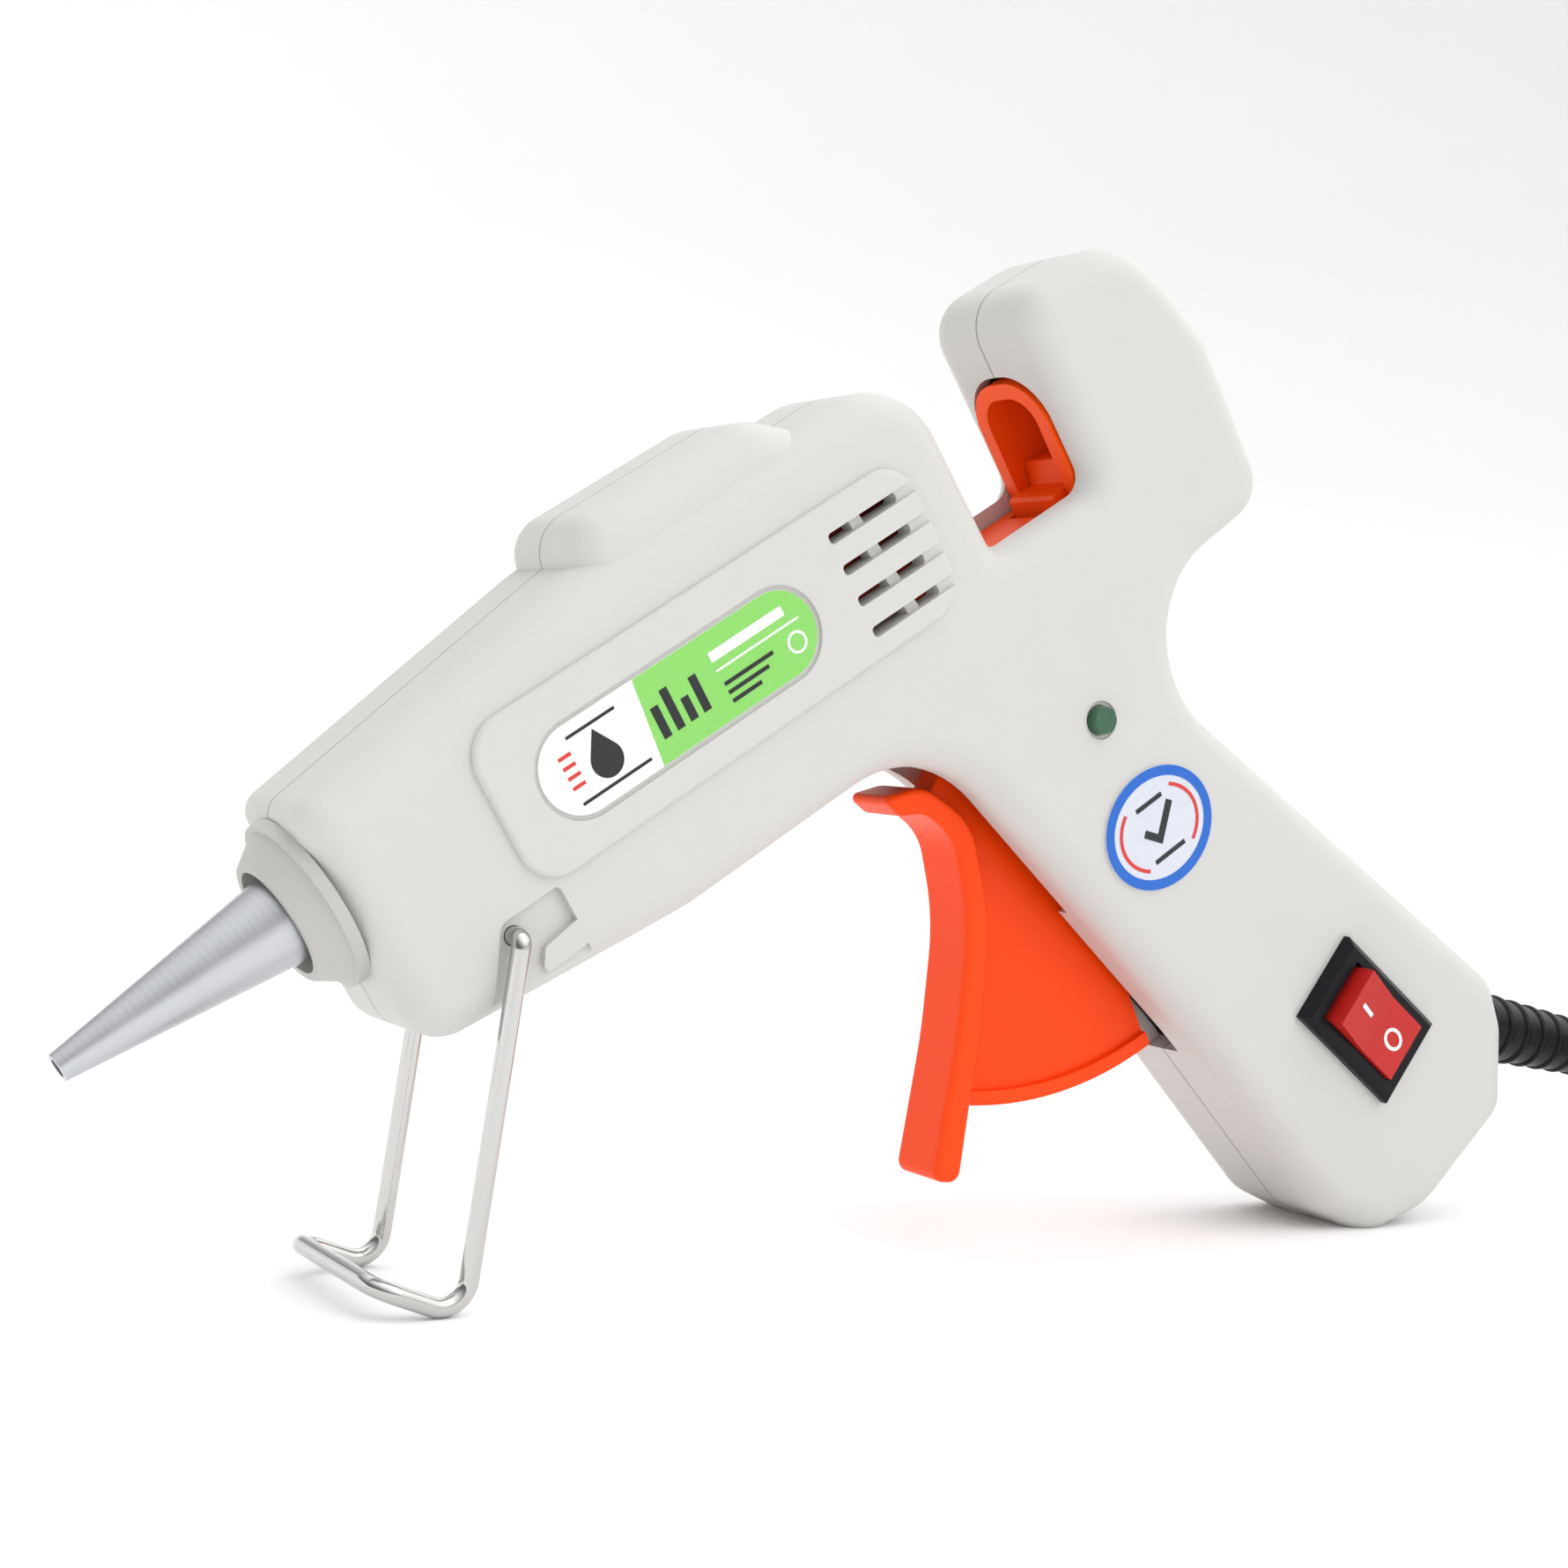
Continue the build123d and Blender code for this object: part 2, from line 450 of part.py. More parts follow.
arm = at_arm * (block(-1.7, 1.7, -WEB_THICKNESS / 2, WEB_THICKNESS / 2, 0, ARM_LENGTH)
                + rod_y(0, ARM_LENGTH, 1.7, -WEB_THICKNESS / 2, WEB_THICKNESS / 2)
                + rod_y(0, ARM_LENGTH, PEG_RADIUS, -HUB_HALF + 0.3, HUB_HALF - 0.3))
trigger = bar_solid + web + rim + hub + arm
trigger -= rod_y(PIVOT_X, PIVOT_Z, PIN_RADIUS + PIN_PLAY, -20, 20)
trigger_pivot_pin = rod_y(PIVOT_X, PIVOT_Z, PIN_RADIUS, -INNER, INNER)

# torsion spring round the near pivot boss
coil_radius = PIN_RADIUS + 1.6 + COIL_WIRE + 0.2
spring_path = Pos(PIVOT_X, -HUB_HALF - 1.9, PIVOT_Z) * Rot(-90, 0, 0) * Rot(0, 0, 180) * Helix(0.75, 1.5, coil_radius)
spring_start = Plane(origin=spring_path @ 0, z_dir=spring_path % 0)
return_spring = sweep(spring_start * Circle(COIL_WIRE), path=spring_path, is_frenet=True)
for spot, way in ((0, -1), (1, 1)):
    end = Plane(origin=spring_path @ spot, z_dir=(spring_path % spot) * way)
    return_spring += extrude(end * Circle(COIL_WIRE), amount=6.0)

# ---------------------------------------------------------------- feed carriage and stick clamp
PEG_X = PIVOT_X + STROKE / 2
plate = block(CARRIAGE_FRONT_X, CARRIAGE_BACK_X, -ARCH_HALF_WIDTH, ARCH_HALF_WIDTH, PLATE_BOTTOM_Z, PLATE_TOP_Z)
arch_outer = outline((-ARCH_HALF_WIDTH, PLATE_BOTTOM_Z, 0), (-ARCH_HALF_WIDTH, ARCH_TOP_Z, ARCH_HALF_WIDTH - 0.9),
                     (ARCH_HALF_WIDTH, ARCH_TOP_Z, ARCH_HALF_WIDTH - 0.9), (ARCH_HALF_WIDTH, PLATE_BOTTOM_Z, 0))
arch_in = ARCH_HALF_WIDTH - ARCH_WALL
arch_inner = outline((-arch_in, PLATE_BOTTOM_Z - 1, 0), (-arch_in, ARCH_TOP_Z - ARCH_WALL, arch_in - 0.9),
                     (arch_in, ARCH_TOP_Z - ARCH_WALL, arch_in - 0.9), (arch_in, PLATE_BOTTOM_Z - 1, 0))
arch = slab(arch_outer, 0, ARCH_LENGTH)
arch -= slab(arch_inner, -1, ARCH_LENGTH + 1)
arch = Pos(ARCH_FRONT_X, 0, 0) * Rot(0, 0, -90) * arch
CLAMP_PIVOT_X = ARCH_FRONT_X + 5.0
CLAMP_PIVOT_Z = PLATE_BOTTOM_Z - 2.0
CLAMP_HALF = arch_in - PLAY
cheeks = Part()
for side in (-1, 1):
    inner_y, outer_y = WEB_THICKNESS / 2 + 0.4, HUB_HALF - 0.1
    y = sorted((side * inner_y, side * outer_y))
    cheek = block(PEG_X - 3.4, PEG_X + 3.4, y[0], y[1], PEG_Z - 2.2, PLATE_BOTTOM_Z)
    cheek -= block(PEG_X - PEG_RADIUS - 0.1, PEG_X + PEG_RADIUS + 0.1, y[0], y[1], PEG_Z - 3, PEG_Z + 1.5)
    y = sorted((side * (CLAMP_HALF + 0.2), side * (EAR_Y)))
    ear = block(CLAMP_PIVOT_X - 2.2, CLAMP_PIVOT_X + 2.2, y[0], y[1], CLAMP_PIVOT_Z - 1.8, PLATE_BOTTOM_Z)
    cheeks += cheek + ear
feed_carriage = plate + arch + cheeks
feed_carriage -= block(ARCH_FRONT_X - 2.6, ARCH_FRONT_X + 9.0, -arch_in, arch_in, PLATE_BOTTOM_Z - 1, PLATE_TOP_Z + 1)
feed_carriage -= rod_y(CLAMP_PIVOT_X, CLAMP_PIVOT_Z, 1.0, -20, 20)

bite_z = BORE_Z - STICK_DIAMETER / 2 - 0.35
step = outline((ARCH_FRONT_X - 1.8, -9.2, 0.4), (ARCH_FRONT_X - 1.8, -5.9, 0.5), (ARCH_FRONT_X + 1.6, -5.9, 0),
               (ARCH_FRONT_X + 2.2, bite_z, 0.3), (ARCH_FRONT_X + 5.4, bite_z - 0.5, 0.4),
               (ARCH_FRONT_X + 7.6, -8.8, 0.6), (CLAMP_PIVOT_X + 1.7, -13.0, 1.5), (CLAMP_PIVOT_X - 1.7, -13.0, 1.5))
stick_clamp = slab(step, -CLAMP_HALF, CLAMP_HALF)
stick_clamp -= rod_y(CLAMP_PIVOT_X, CLAMP_PIVOT_Z, 1.0 + PIN_PLAY, -20, 20)
clamp_pin = rod_y(CLAMP_PIVOT_X, CLAMP_PIVOT_Z, 1.0, -EAR_Y, EAR_Y)

# ---------------------------------------------------------------- wire stand
corner_x, corner_z = polar(STAND_PIVOT_X, STAND_PIVOT_Z, LEG_LENGTH, LEG_ANGLE)
toe_x, toe_z = polar(corner_x, corner_z, FOOT_LENGTH, FOOT_ANGLE)
LEG_INSIDE = INNER - 1.5
stand_points = [
    (STAND_PIVOT_X, -LEG_INSIDE, STAND_PIVOT_Z), (STAND_PIVOT_X, -LEG_Y, STAND_PIVOT_Z),
    (corner_x, -LEG_Y, corner_z), (toe_x, -LEG_Y, toe_z), (toe_x, LEG_Y, toe_z),
    (corner_x, LEG_Y, corner_z), (STAND_PIVOT_X, LEG_Y, STAND_PIVOT_Z), (STAND_PIVOT_X, LEG_INSIDE, STAND_PIVOT_Z),
]
stand_bends = [PIVOT_BEND, WIRE_BEND, WIRE_BEND, WIRE_BEND, WIRE_BEND, PIVOT_BEND]
stand_path = FilletPolyline(*stand_points, radius=stand_bends)
stand_start = Plane(origin=stand_path @ 0, z_dir=stand_path % 0)
wire_stand = sweep(stand_start * Circle(WIRE_RADIUS), path=stand_path)

# ---------------------------------------------------------------- switch
POCKET_LENGTH = ROCKER_LENGTH + 0.4
POCKET_WIDTH = ROCKER_WIDTH + 0.3
ROCKER_PIVOT_Y = -HALF_WIDTH + 1.6
skin_y = -HALF_WIDTH
flange = block(-SWITCH_WIDTH / 2, SWITCH_WIDTH / 2, skin_y - FRAME_RISE, skin_y, -SWITCH_LENGTH / 2, SWITCH_LENGTH / 2)
top_edges = flange.faces().sort_by(Axis.Y)[0].edges()
flange = chamfer(top_edges, 0.7)
frame_body = block(-FRAME_BODY_WIDTH / 2, FRAME_BODY_WIDTH / 2, skin_y, 1.5, -FRAME_BODY_LENGTH / 2,
                   FRAME_BODY_LENGTH / 2)
pocket = block(-POCKET_WIDTH / 2, POCKET_WIDTH / 2, skin_y - 3, -3.6, -POCKET_LENGTH / 2, POCKET_LENGTH / 2)
trunnion_hole = Pos(0, ROCKER_PIVOT_Y, 0) * Rot(0, 90, 0) * Cylinder(0.8 + PIN_PLAY, 8.4)
switch_frame = at_switch * (flange + frame_body - pocket - trunnion_hole)
half_rocker = (ROCKER_LENGTH - 0.8) / 2
rocker_face = make_face(Plane.YZ * Polyline(
    (-4.8, -half_rocker), (skin_y - 2.7, -half_rocker), (skin_y - 2.1, 0), (skin_y - 2.7, half_rocker),
    (-4.8, half_rocker), close=True))
rocker_block = Pos(-ROCKER_WIDTH / 2, 0, 0) * extrude(rocker_face, amount=ROCKER_WIDTH, dir=(1, 0, 0))
rocker_block += Pos(0, ROCKER_PIVOT_Y, 0) * Rot(0, 90, 0) * Cylinder(0.8, 8.2)
tip_rocker = Pos(0, ROCKER_PIVOT_Y, 0) * Rot(ROCKER_TILT, 0, 0) * Pos(0, -ROCKER_PIVOT_Y, 0)
switch_rocker = at_switch * tip_rocker * rocker_block
switch_terminals = Part()
for spot in (-4.2, 0.6):
    switch_terminals += at_switch * block(-2.3, 2.3, 1.5, INNER - 0.6, spot, spot + 0.8)

# ---------------------------------------------------------------- pilot light, label, sticker
pilot_light = rod_y(LIGHT_X, LIGHT_Z, LIGHT_RADIUS, -HALF_WIDTH - 0.1, -4.6)
dome = Pos(LIGHT_X, -HALF_WIDTH - 0.1, LIGHT_Z) * Sphere(LIGHT_RADIUS)
pilot_light += dome & block(LIGHT_X - 5, LIGHT_X + 5, -HALF_WIDTH - 0.85, -HALF_WIDTH, LIGHT_Z - 5, LIGHT_Z + 5)
pilot_light += rod_y(LIGHT_X, LIGHT_Z, LIGHT_RADIUS + 0.35, -5.6, -4.6)
light_resistor = Pos(110.5, -4.6, -34.0) * Cylinder(1.1, 6.0) + Pos(110.5, -4.6, -34.0) * Cylinder(0.35, 12.0)
label_skin = -HALF_WIDTH - PANEL_RISE + 0.4
name_label = side_plate(LABEL_X, LABEL_Z, LABEL_LENGTH, LABEL_HEIGHT, 0, label_skin - FOIL, label_skin,
                        LABEL_HEIGHT / 2 - 0.01)
sticker_face = Plane.XZ * Pos(STICKER_X, STICKER_Z) * Ellipse(STICKER_LENGTH / 2, STICKER_HEIGHT / 2)
round_sticker = slab(sticker_face, -HALF_WIDTH - FOIL, -HALF_WIDTH)

# ---------------------------------------------------------------- fasteners and inner wiring
housing_screws = Part()
for x, z in SCREW_PLACES:
    housing_screws += rod_y(x, z, SCREW_RADIUS, -4.6, HALF_WIDTH - SCREW_SINK)
    head = rod_y(x, z, SCREW_HEAD_RADIUS, HALF_WIDTH - SCREW_SINK, HALF_WIDTH - SCREW_SINK + 1.3)
    cross = block(x - 1.3, x + 1.3, HALF_WIDTH - 1, HALF_WIDTH, z - 0.25, z + 0.25)
    cross += block(x - 0.25, x + 0.25, HALF_WIDTH - 1, HALF_WIDTH, z - 1.3, z + 1.3)
    housing_screws += head - cross
cord_clamp = at_clamp * block(-2.0, 2.0, -CORD_DIAMETER / 2 - 1.7, -CORD_DIAMETER / 2, -CLAMP_REACH - 1.5,
                              CLAMP_REACH + 1.5)
cord_clamp_screws = Part()
for reach in (-CLAMP_REACH, CLAMP_REACH):
    cord_clamp -= at_clamp * rod_y(0, reach, 1.0, -10, 0)
    cord_clamp_screws += at_clamp * (rod_y(0, reach, 0.9, -CORD_DIAMETER / 2 - 1.7, INNER - 1)
                                     + rod_y(0, reach, 1.7, -CORD_DIAMETER / 2 - 2.8, -CORD_DIAMETER / 2 - 1.7))
lead_route = [(66.4, -8.6), (71.0, -13.4), (90.0, -14.2), (97.0, -15.5), (106.0, -20.5), (107.6, -30.0),
              (106.0, -48.0), (112.0, -61.5)]
heater_leads = Part()
for y in (5.1, 6.3):
    path = FilletPolyline(*[(x, y, z) for x, z in lead_route], radius=2.0)
    start = Plane(origin=path @ 0, z_dir=path % 0)
    heater_leads += sweep(start * Circle(LEAD_RADIUS), path=path)

relief_inner = -WALL - 3.4
cord_tail = at_exit * rod_x(-CLAMP_BACK - 2.4, relief_inner - GROMMET, CORD_DIAMETER / 2, 0, 0)
strain_relief = at_exit * rod_x(-1.0, RELIEF_LENGTH, RELIEF_RADIUS, 0, 0) - outside
strain_relief += at_exit * (rod_x(relief_inner - GROMMET, 1.0, RELIEF_NECK_RADIUS, 0, 0)
                            + rod_x(relief_inner - GROMMET, relief_inner, RELIEF_NECK_RADIUS + 0.8, 0, 0))

# ---------------------------------------------------------------- everything onto the table
pieces = {
    "housing_left": left_shell, "housing_right": right_shell, "nozzle": nozzle, "nozzle_collar": nozzle_collar,
    "heater_barrel": heater_barrel, "heater_film": heater_film, "ptc_heater": ptc_heater,
    "heater_wedge": heater_wedge, "inlet_sleeve": inlet_sleeve, "sleeve_clip": sleeve_clip,
    "trigger": trigger, "trigger_pivot_pin": trigger_pivot_pin, "return_spring": return_spring,
    "feed_carriage": feed_carriage, "stick_clamp": stick_clamp, "clamp_pin": clamp_pin,
    "wire_stand": wire_stand, "switch_frame": switch_frame, "switch_rocker": switch_rocker,
    "switch_terminals": switch_terminals, "pilot_light": pilot_light, "light_resistor": light_resistor,
    "name_label": name_label, "round_sticker": round_sticker, "housing_screws": housing_screws,
    "cord_clamp": cord_clamp, "cord_clamp_screws": cord_clamp_screws, "cord_tail": cord_tail,
    "heater_leads": heater_leads,
}
pieces = {name: onto_table * piece for name, piece in pieces.items()}
box = Compound(list(pieces.values())).bounding_box()
table_z = REST_X * sin(radians(TILT)) + REST_Z * cos(radians(TILT))
to_origin = Pos(-(box.min.X + box.max.X) / 2, 0, -table_z)
pieces = {name: to_origin * piece for name, piece in pieces.items()}
pieces["strain_relief"] = to_origin * onto_table * strain_relief
in_place = to_origin * onto_table


def placed(x, y, z):
    """A point of the level gun, where it lies once the gun stands on the table."""
    return (in_place * Pos(x, y, z)).position


# ---------------------------------------------------------------- cord, hank and plug
mouth = placed(*Vector((at_exit * Pos(RELIEF_LENGTH, 0, 0)).position))
CORD_ROUTE = [tuple(mouth), (119.2, 0.0, 15.5), (131.9, 1.2, 13.8)]


def arc_radii(points):
    """The radius at each inner point: 0.45 of the shorter run over the tangent of half the turn."""
    radii = []
    for a, b, c in zip(points, points[1:], points[2:]):
        before = Vector(b) - Vector(a)
        after = Vector(c) - Vector(b)
        turn = radians(before.get_angle(after))
        radii.append(0.45 * min(before.length, after.length) / tan(turn / 2))
    return radii


cord_path = FilletPolyline(*CORD_ROUTE, radius=arc_radii(CORD_ROUTE))
cord_start = Plane(origin=cord_path @ 0, z_dir=cord_path % 0)
cord = sweep(cord_start * Circle(CORD_DIAMETER / 2), path=cord_path)
print("cord arcs", [round(r, 1) for r in arc_radii(CORD_ROUTE)], "mm")
print("cord volume over section times length", cord.volume / (pi * CORD_DIAMETER ** 2 / 4 * cord_path.length))

hank_width = 2 * (HANK_FOLD + CORD_DIAMETER + 0.1) + CORD_DIAMETER
hank_height = HANK_LAYERS * (CORD_DIAMETER + 0.05) + 2 * TIE_THICKNESS
hank_hole = 2 * HANK_FOLD - CORD_DIAMETER
hank_middle = Pos(HANK_X + HANK_LENGTH / 2, HANK_Y, 0)
hank_sketch = SlotOverall(HANK_LENGTH, hank_width) - SlotOverall(HANK_LENGTH - hank_width + hank_hole, hank_hole)
cord_hank = hank_middle * extrude(hank_sketch, amount=hank_height)
tie_outer = block(-TIE_WIDTH / 2, TIE_WIDTH / 2, -hank_width / 2, hank_width / 2, 0, hank_height)
tie_inner = block(-TIE_WIDTH, TIE_WIDTH, -hank_width / 2 + TIE_THICKNESS, hank_width / 2 - TIE_THICKNESS,
                  TIE_THICKNESS, hank_height - TIE_THICKNESS)
cord_tie = hank_middle * (tie_outer - tie_inner)
cord_hank -= cord_tie

at_plug = Pos(PLUG_X, PLUG_Y, hank_height)
plug_face = make_face(Polyline(
    (0, -PLUG_WIDTH / 2), (PLUG_LENGTH * 0.55, -PLUG_WIDTH / 2), (PLUG_LENGTH, -PLUG_WIDTH * 0.22),
    (PLUG_LENGTH, PLUG_WIDTH * 0.22), (PLUG_LENGTH * 0.55, PLUG_WIDTH / 2), (0, PLUG_WIDTH / 2), close=True))
plug_body = extrude(plug_face, amount=PLUG_HEIGHT)
plug_body = fillet(plug_body.edges().filter_by(Axis.Z), 2.0)
plug_body = chamfer(plug_body.faces().sort_by(Axis.Z)[-1].edges(), 1.2)
plug_tail = rod_x(PLUG_LENGTH - 1, PLUG_LENGTH + PLUG_TAIL, CORD_DIAMETER / 2 + 1.1, 0, PLUG_CORD_Z)
mains_plug = at_plug * (plug_body + plug_tail)
plug_pins = Part()
for side in (-1, 1):
    plug_pins += at_plug * rod_x(-PIN_LENGTH, 0, PIN_DIAMETER / 2, side * PIN_SPACING / 2, PLUG_HEIGHT / 2)

pieces["cord"] = cord
pieces["cord_hank"] = cord_hank
pieces["cord_tie"] = cord_tie
pieces["mains_plug"] = mains_plug
pieces["plug_pins"] = plug_pins

# ---------------------------------------------------------------- files
for name, piece in pieces.items():
    export_step(piece, f"parts/{name}.step")
print(len(pieces), "pieces, stands at", round(TILT, 2), "degrees")
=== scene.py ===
import json
from math import atan2, cos, pi, radians, sin
import bmesh
import bpy
from mathutils import Matrix, Vector


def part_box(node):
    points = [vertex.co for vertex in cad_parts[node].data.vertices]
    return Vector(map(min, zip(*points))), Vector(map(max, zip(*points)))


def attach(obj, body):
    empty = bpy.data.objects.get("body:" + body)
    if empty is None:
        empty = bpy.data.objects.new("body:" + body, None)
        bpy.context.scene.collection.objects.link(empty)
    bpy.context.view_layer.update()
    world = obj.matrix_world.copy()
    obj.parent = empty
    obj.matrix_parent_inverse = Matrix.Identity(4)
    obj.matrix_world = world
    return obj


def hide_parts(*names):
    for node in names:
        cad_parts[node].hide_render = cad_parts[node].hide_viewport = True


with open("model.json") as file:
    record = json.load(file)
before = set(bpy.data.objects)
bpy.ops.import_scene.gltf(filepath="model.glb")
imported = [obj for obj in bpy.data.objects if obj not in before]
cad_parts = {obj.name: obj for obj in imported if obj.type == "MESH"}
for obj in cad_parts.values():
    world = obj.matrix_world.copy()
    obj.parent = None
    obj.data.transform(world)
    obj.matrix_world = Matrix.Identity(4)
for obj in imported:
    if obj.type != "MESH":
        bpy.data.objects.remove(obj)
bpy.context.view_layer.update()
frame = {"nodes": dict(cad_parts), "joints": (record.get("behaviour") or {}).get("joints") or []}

MM = 0.001
scene = bpy.context.scene
nodes = frame["nodes"]

# ---------------------------------------------------------------- where the level gun lies
# The gun is drawn with its barrel level, X back from the nozzle's tip and Z up, and tipped onto its stand.
joints = {joint["name"]: joint for joint in frame["joints"]}
barrel_axis = -Vector(joints["carriage_feed"]["axis"])
TILT = atan2(barrel_axis.z, barrel_axis.x)
TRIGGER_PIVOT = Vector((99.0, 0.0, -22.8))     # in the level gun, in millimetres


def level_to_table():
    """Matrix from the level gun in millimetres to the standing gun in metres."""
    turn = Matrix.Rotation(-TILT, 4, "Y") @ Matrix.Scale(MM, 4)
    pivot = Vector(joints["trigger_squeeze"].get("pos_m") or joints["trigger_squeeze"]["pos"])
    return Matrix.Translation(pivot - turn @ TRIGGER_PIVOT) @ turn


to_table = level_to_table()
HALF_WIDTH = 9.0            # parting face to the side wall
PANEL_SKIN = 9.7            # parting face to the raised panel
FOIL = 0.25                 # thickness of label and sticker
LABEL_SINK = 0.4            # recess that the label lies in


# ---------------------------------------------------------------- camera
def aim_camera():
    """Camera on the near side, slightly ahead of the gun, almost level."""
    camera = bpy.data.objects.new("camera", bpy.data.cameras.new("camera"))
    scene.collection.objects.link(camera)
    right = Vector((0.85405, -0.5177, 0.05097))
    up = Vector((-0.02891, 0.0507, 0.99824))
    back = right.cross(up)
    basis = Matrix((right, up, back)).transposed().to_4x4()
    camera.matrix_world = Matrix.Translation((-0.13888, -0.20834, 0.05448)) @ basis
    camera.data.sensor_width = 36.0
    camera.data.lens = 56.63
    camera.data.clip_start = 0.005
    scene.camera = camera


aim_camera()


# ---------------------------------------------------------------- node trees
def add(tree, kind, settings=None, inputs=None):
    """Add a node, set its properties, and fill its inputs with values or with links from other sockets."""
    made = tree.nodes.new(kind)
    for key, value in (settings or {}).items():
        setattr(made, key, value)
    for key, value in (inputs or {}).items():
        if isinstance(value, bpy.types.NodeSocket):
            tree.links.new(value, made.inputs[key])
        else:
            made.inputs[key].default_value = value
    return made


def linear(code):
    """sRGB hex to a linear colour with alpha."""
    parts = [int(code[i:i + 2], 16) / 255 for i in (1, 3, 5)]
    return tuple(c / 12.92 if c <= 0.04045 else ((c + 0.055) / 1.055) ** 2.4 for c in parts) + (1.0,)


def shade(code, factor):
    """A hex colour made lighter or darker."""
    return tuple(c * factor for c in linear(code)[:3]) + (1.0,)


def blank(name):
    """Material with a Principled shader and Object coordinates."""
    material = bpy.data.materials.new(name)
    material.use_nodes = True
    tree = material.node_tree
    tree.nodes.clear()
    out = add(tree, "ShaderNodeOutputMaterial")
    shader = add(tree, "ShaderNodeBsdfPrincipled")
    tree.links.new(shader.outputs["BSDF"], out.inputs["Surface"])
    place = add(tree, "ShaderNodeTexCoord").outputs["Object"]
    return material, tree, shader, place


def blended(tree, factor, low, high):
    """Colour between two others, by a factor socket."""
    mix = add(tree, "ShaderNodeMix", {"data_type": "RGBA"}, {0: factor, 6: low, 7: high})
    return mix.outputs[2]


def surface(name, colour, roughness, grain, depth, drift=0.06, patch=9.0, spread=0.08, **shader_values):
    """A moulded, cast or drawn surface. grain is its texture's pitch and depth its height, in millimetres;
    patch is the size of the faint drift in colour and gloss that handling and moulding leave."""
    material, tree, shader, place = blank(name)
    cloud = add(tree, "ShaderNodeTexNoise", None,
                {"Vector": place, "Scale": 1 / (patch * MM), "Detail": 3.0, "Roughness": 0.55}).outputs["Fac"]
    colour_socket = blended(tree, cloud, shade(colour, 1 - drift), shade(colour, 1 + drift))
    tree.links.new(colour_socket, shader.inputs["Base Color"])
    gloss = add(tree, "ShaderNodeMapRange", None,
                {"Value": cloud, "From Min": 0.3, "From Max": 0.7,
                 "To Min": roughness - spread / 2, "To Max": roughness + spread / 2})
    tree.links.new(gloss.outputs["Result"], shader.inputs["Roughness"])
    fine = add(tree, "ShaderNodeTexNoise", None,
               {"Vector": place, "Scale": 1 / (grain * MM), "Detail": 2.0, "Roughness": 0.6}).outputs["Fac"]
    bump = add(tree, "ShaderNodeBump", None, {"Strength": 1.0, "Distance": depth * MM, "Height": fine})
    tree.links.new(bump.outputs["Normal"], shader.inputs["Normal"])
    for key, value in shader_values.items():
        shader.inputs[key.replace("_", " ")].default_value = value
    return material, tree, shader, place, colour_socket, bump


def finish_of(*args, **values):
    """A surface that needs nothing more."""
    return surface(*args, **values)[0]


# ABS, injection moulded in a spark-eroded tool: a fine even grain of about 0.3 mm that breaks up
# highlights, drawn a little coarser so that it shows. A hairline marks where the two halves meet.
def abs_spark_grained():
    material, tree, shader, place, colour, bump = surface(
        "abs_spark_grained", "#CCCBC8", 0.5, 0.42, 0.012, drift=0.018, patch=14.0, IOR=1.53,
        Specular_IOR_Level=0.35)
    across = add(tree, "ShaderNodeSeparateXYZ", None, {0: place}).outputs["Y"]
    away = add(tree, "ShaderNodeMath", {"operation": "ABSOLUTE"}, {0: across}).outputs[0]
    seam = add(tree, "ShaderNodeMapRange", {"interpolation_type": "SMOOTHSTEP"},
               {"Value": away, "From Min": 0.06 * MM, "From Max": 0.16 * MM, "To Min": 1.0, "To Max": 0.0})
    tree.links.new(blended(tree, seam.outputs["Result"], colour, linear("#8E8C88")), shader.inputs["Base Color"])
    return material


housing_finish = abs_spark_grained()
# PBT with glass, moulded: heat-proof, duller and a shade greyer than the housing.
collar_finish = finish_of("pbt_glass_filled", "#BAB9B5", 0.58, 0.35, 0.012, drift=0.03, patch=7.0, IOR=1.57)
# Polypropylene, orange, polished mould: even satin gloss, light enters a little.
trigger_finish = finish_of("polypropylene_orange_satin", "#F94603", 0.36, 0.55, 0.007, drift=0.04, patch=10.0,
                           IOR=1.49, Specular_IOR_Level=0.2)
feed_finish = finish_of("polypropylene_orange_feed", "#F95206", 0.42, 0.45, 0.009, drift=0.05, patch=6.0,
                        IOR=1.49, Specular_IOR_Level=0.2)
# Steel wire, drawn and nickel plated: almost a mirror, with faint marks from the drawing.
wire_finish = finish_of("steel_wire_nickel_plated", "#C4C3C1", 0.11, 0.25, 0.003, drift=0.05, patch=2.5,
                        spread=0.06, Metallic=1.0)
# Zinc alloy, as cast: dull grey with a coarse skin. Spring steel, drawn: smoother and brighter.
cast_finish = finish_of("zinc_alloy_cast", "#A3A5A8", 0.52, 0.3, 0.02, drift=0.1, patch=5.0, Metallic=1.0)
steel_finish = finish_of("spring_steel_drawn", "#A9A8A6", 0.28, 0.2, 0.004, drift=0.06, patch=2.0, Metallic=1.0)
# Steel, rolled and zinc plated: grey and a little patchy. Brass, stamped: warm and smooth, and where it is
# nickel plated, nearly silver.
screw_finish = finish_of("steel_screw_zinc_plated", "#8D8F93", 0.34, 0.25, 0.006, drift=0.1, patch=1.2,
                         Metallic=1.0)
brass_finish = finish_of("brass_stamped", "#CDAE6B", 0.3, 0.2, 0.004, drift=0.06, patch=2.0, Metallic=1.0)
pin_finish = finish_of("brass_pin_nickel_plated", "#C9C5BC", 0.2, 0.25, 0.003, drift=0.05, patch=2.5, Metallic=1.0)
# Polyamide bezel, black, fine texture with a slight sheen.
bezel_finish = finish_of("polyamide_black_switch", "#0A0B12", 0.3, 0.3, 0.006, drift=0.12, patch=4.0, IOR=1.53,
                         Specular_IOR_Level=0.16)
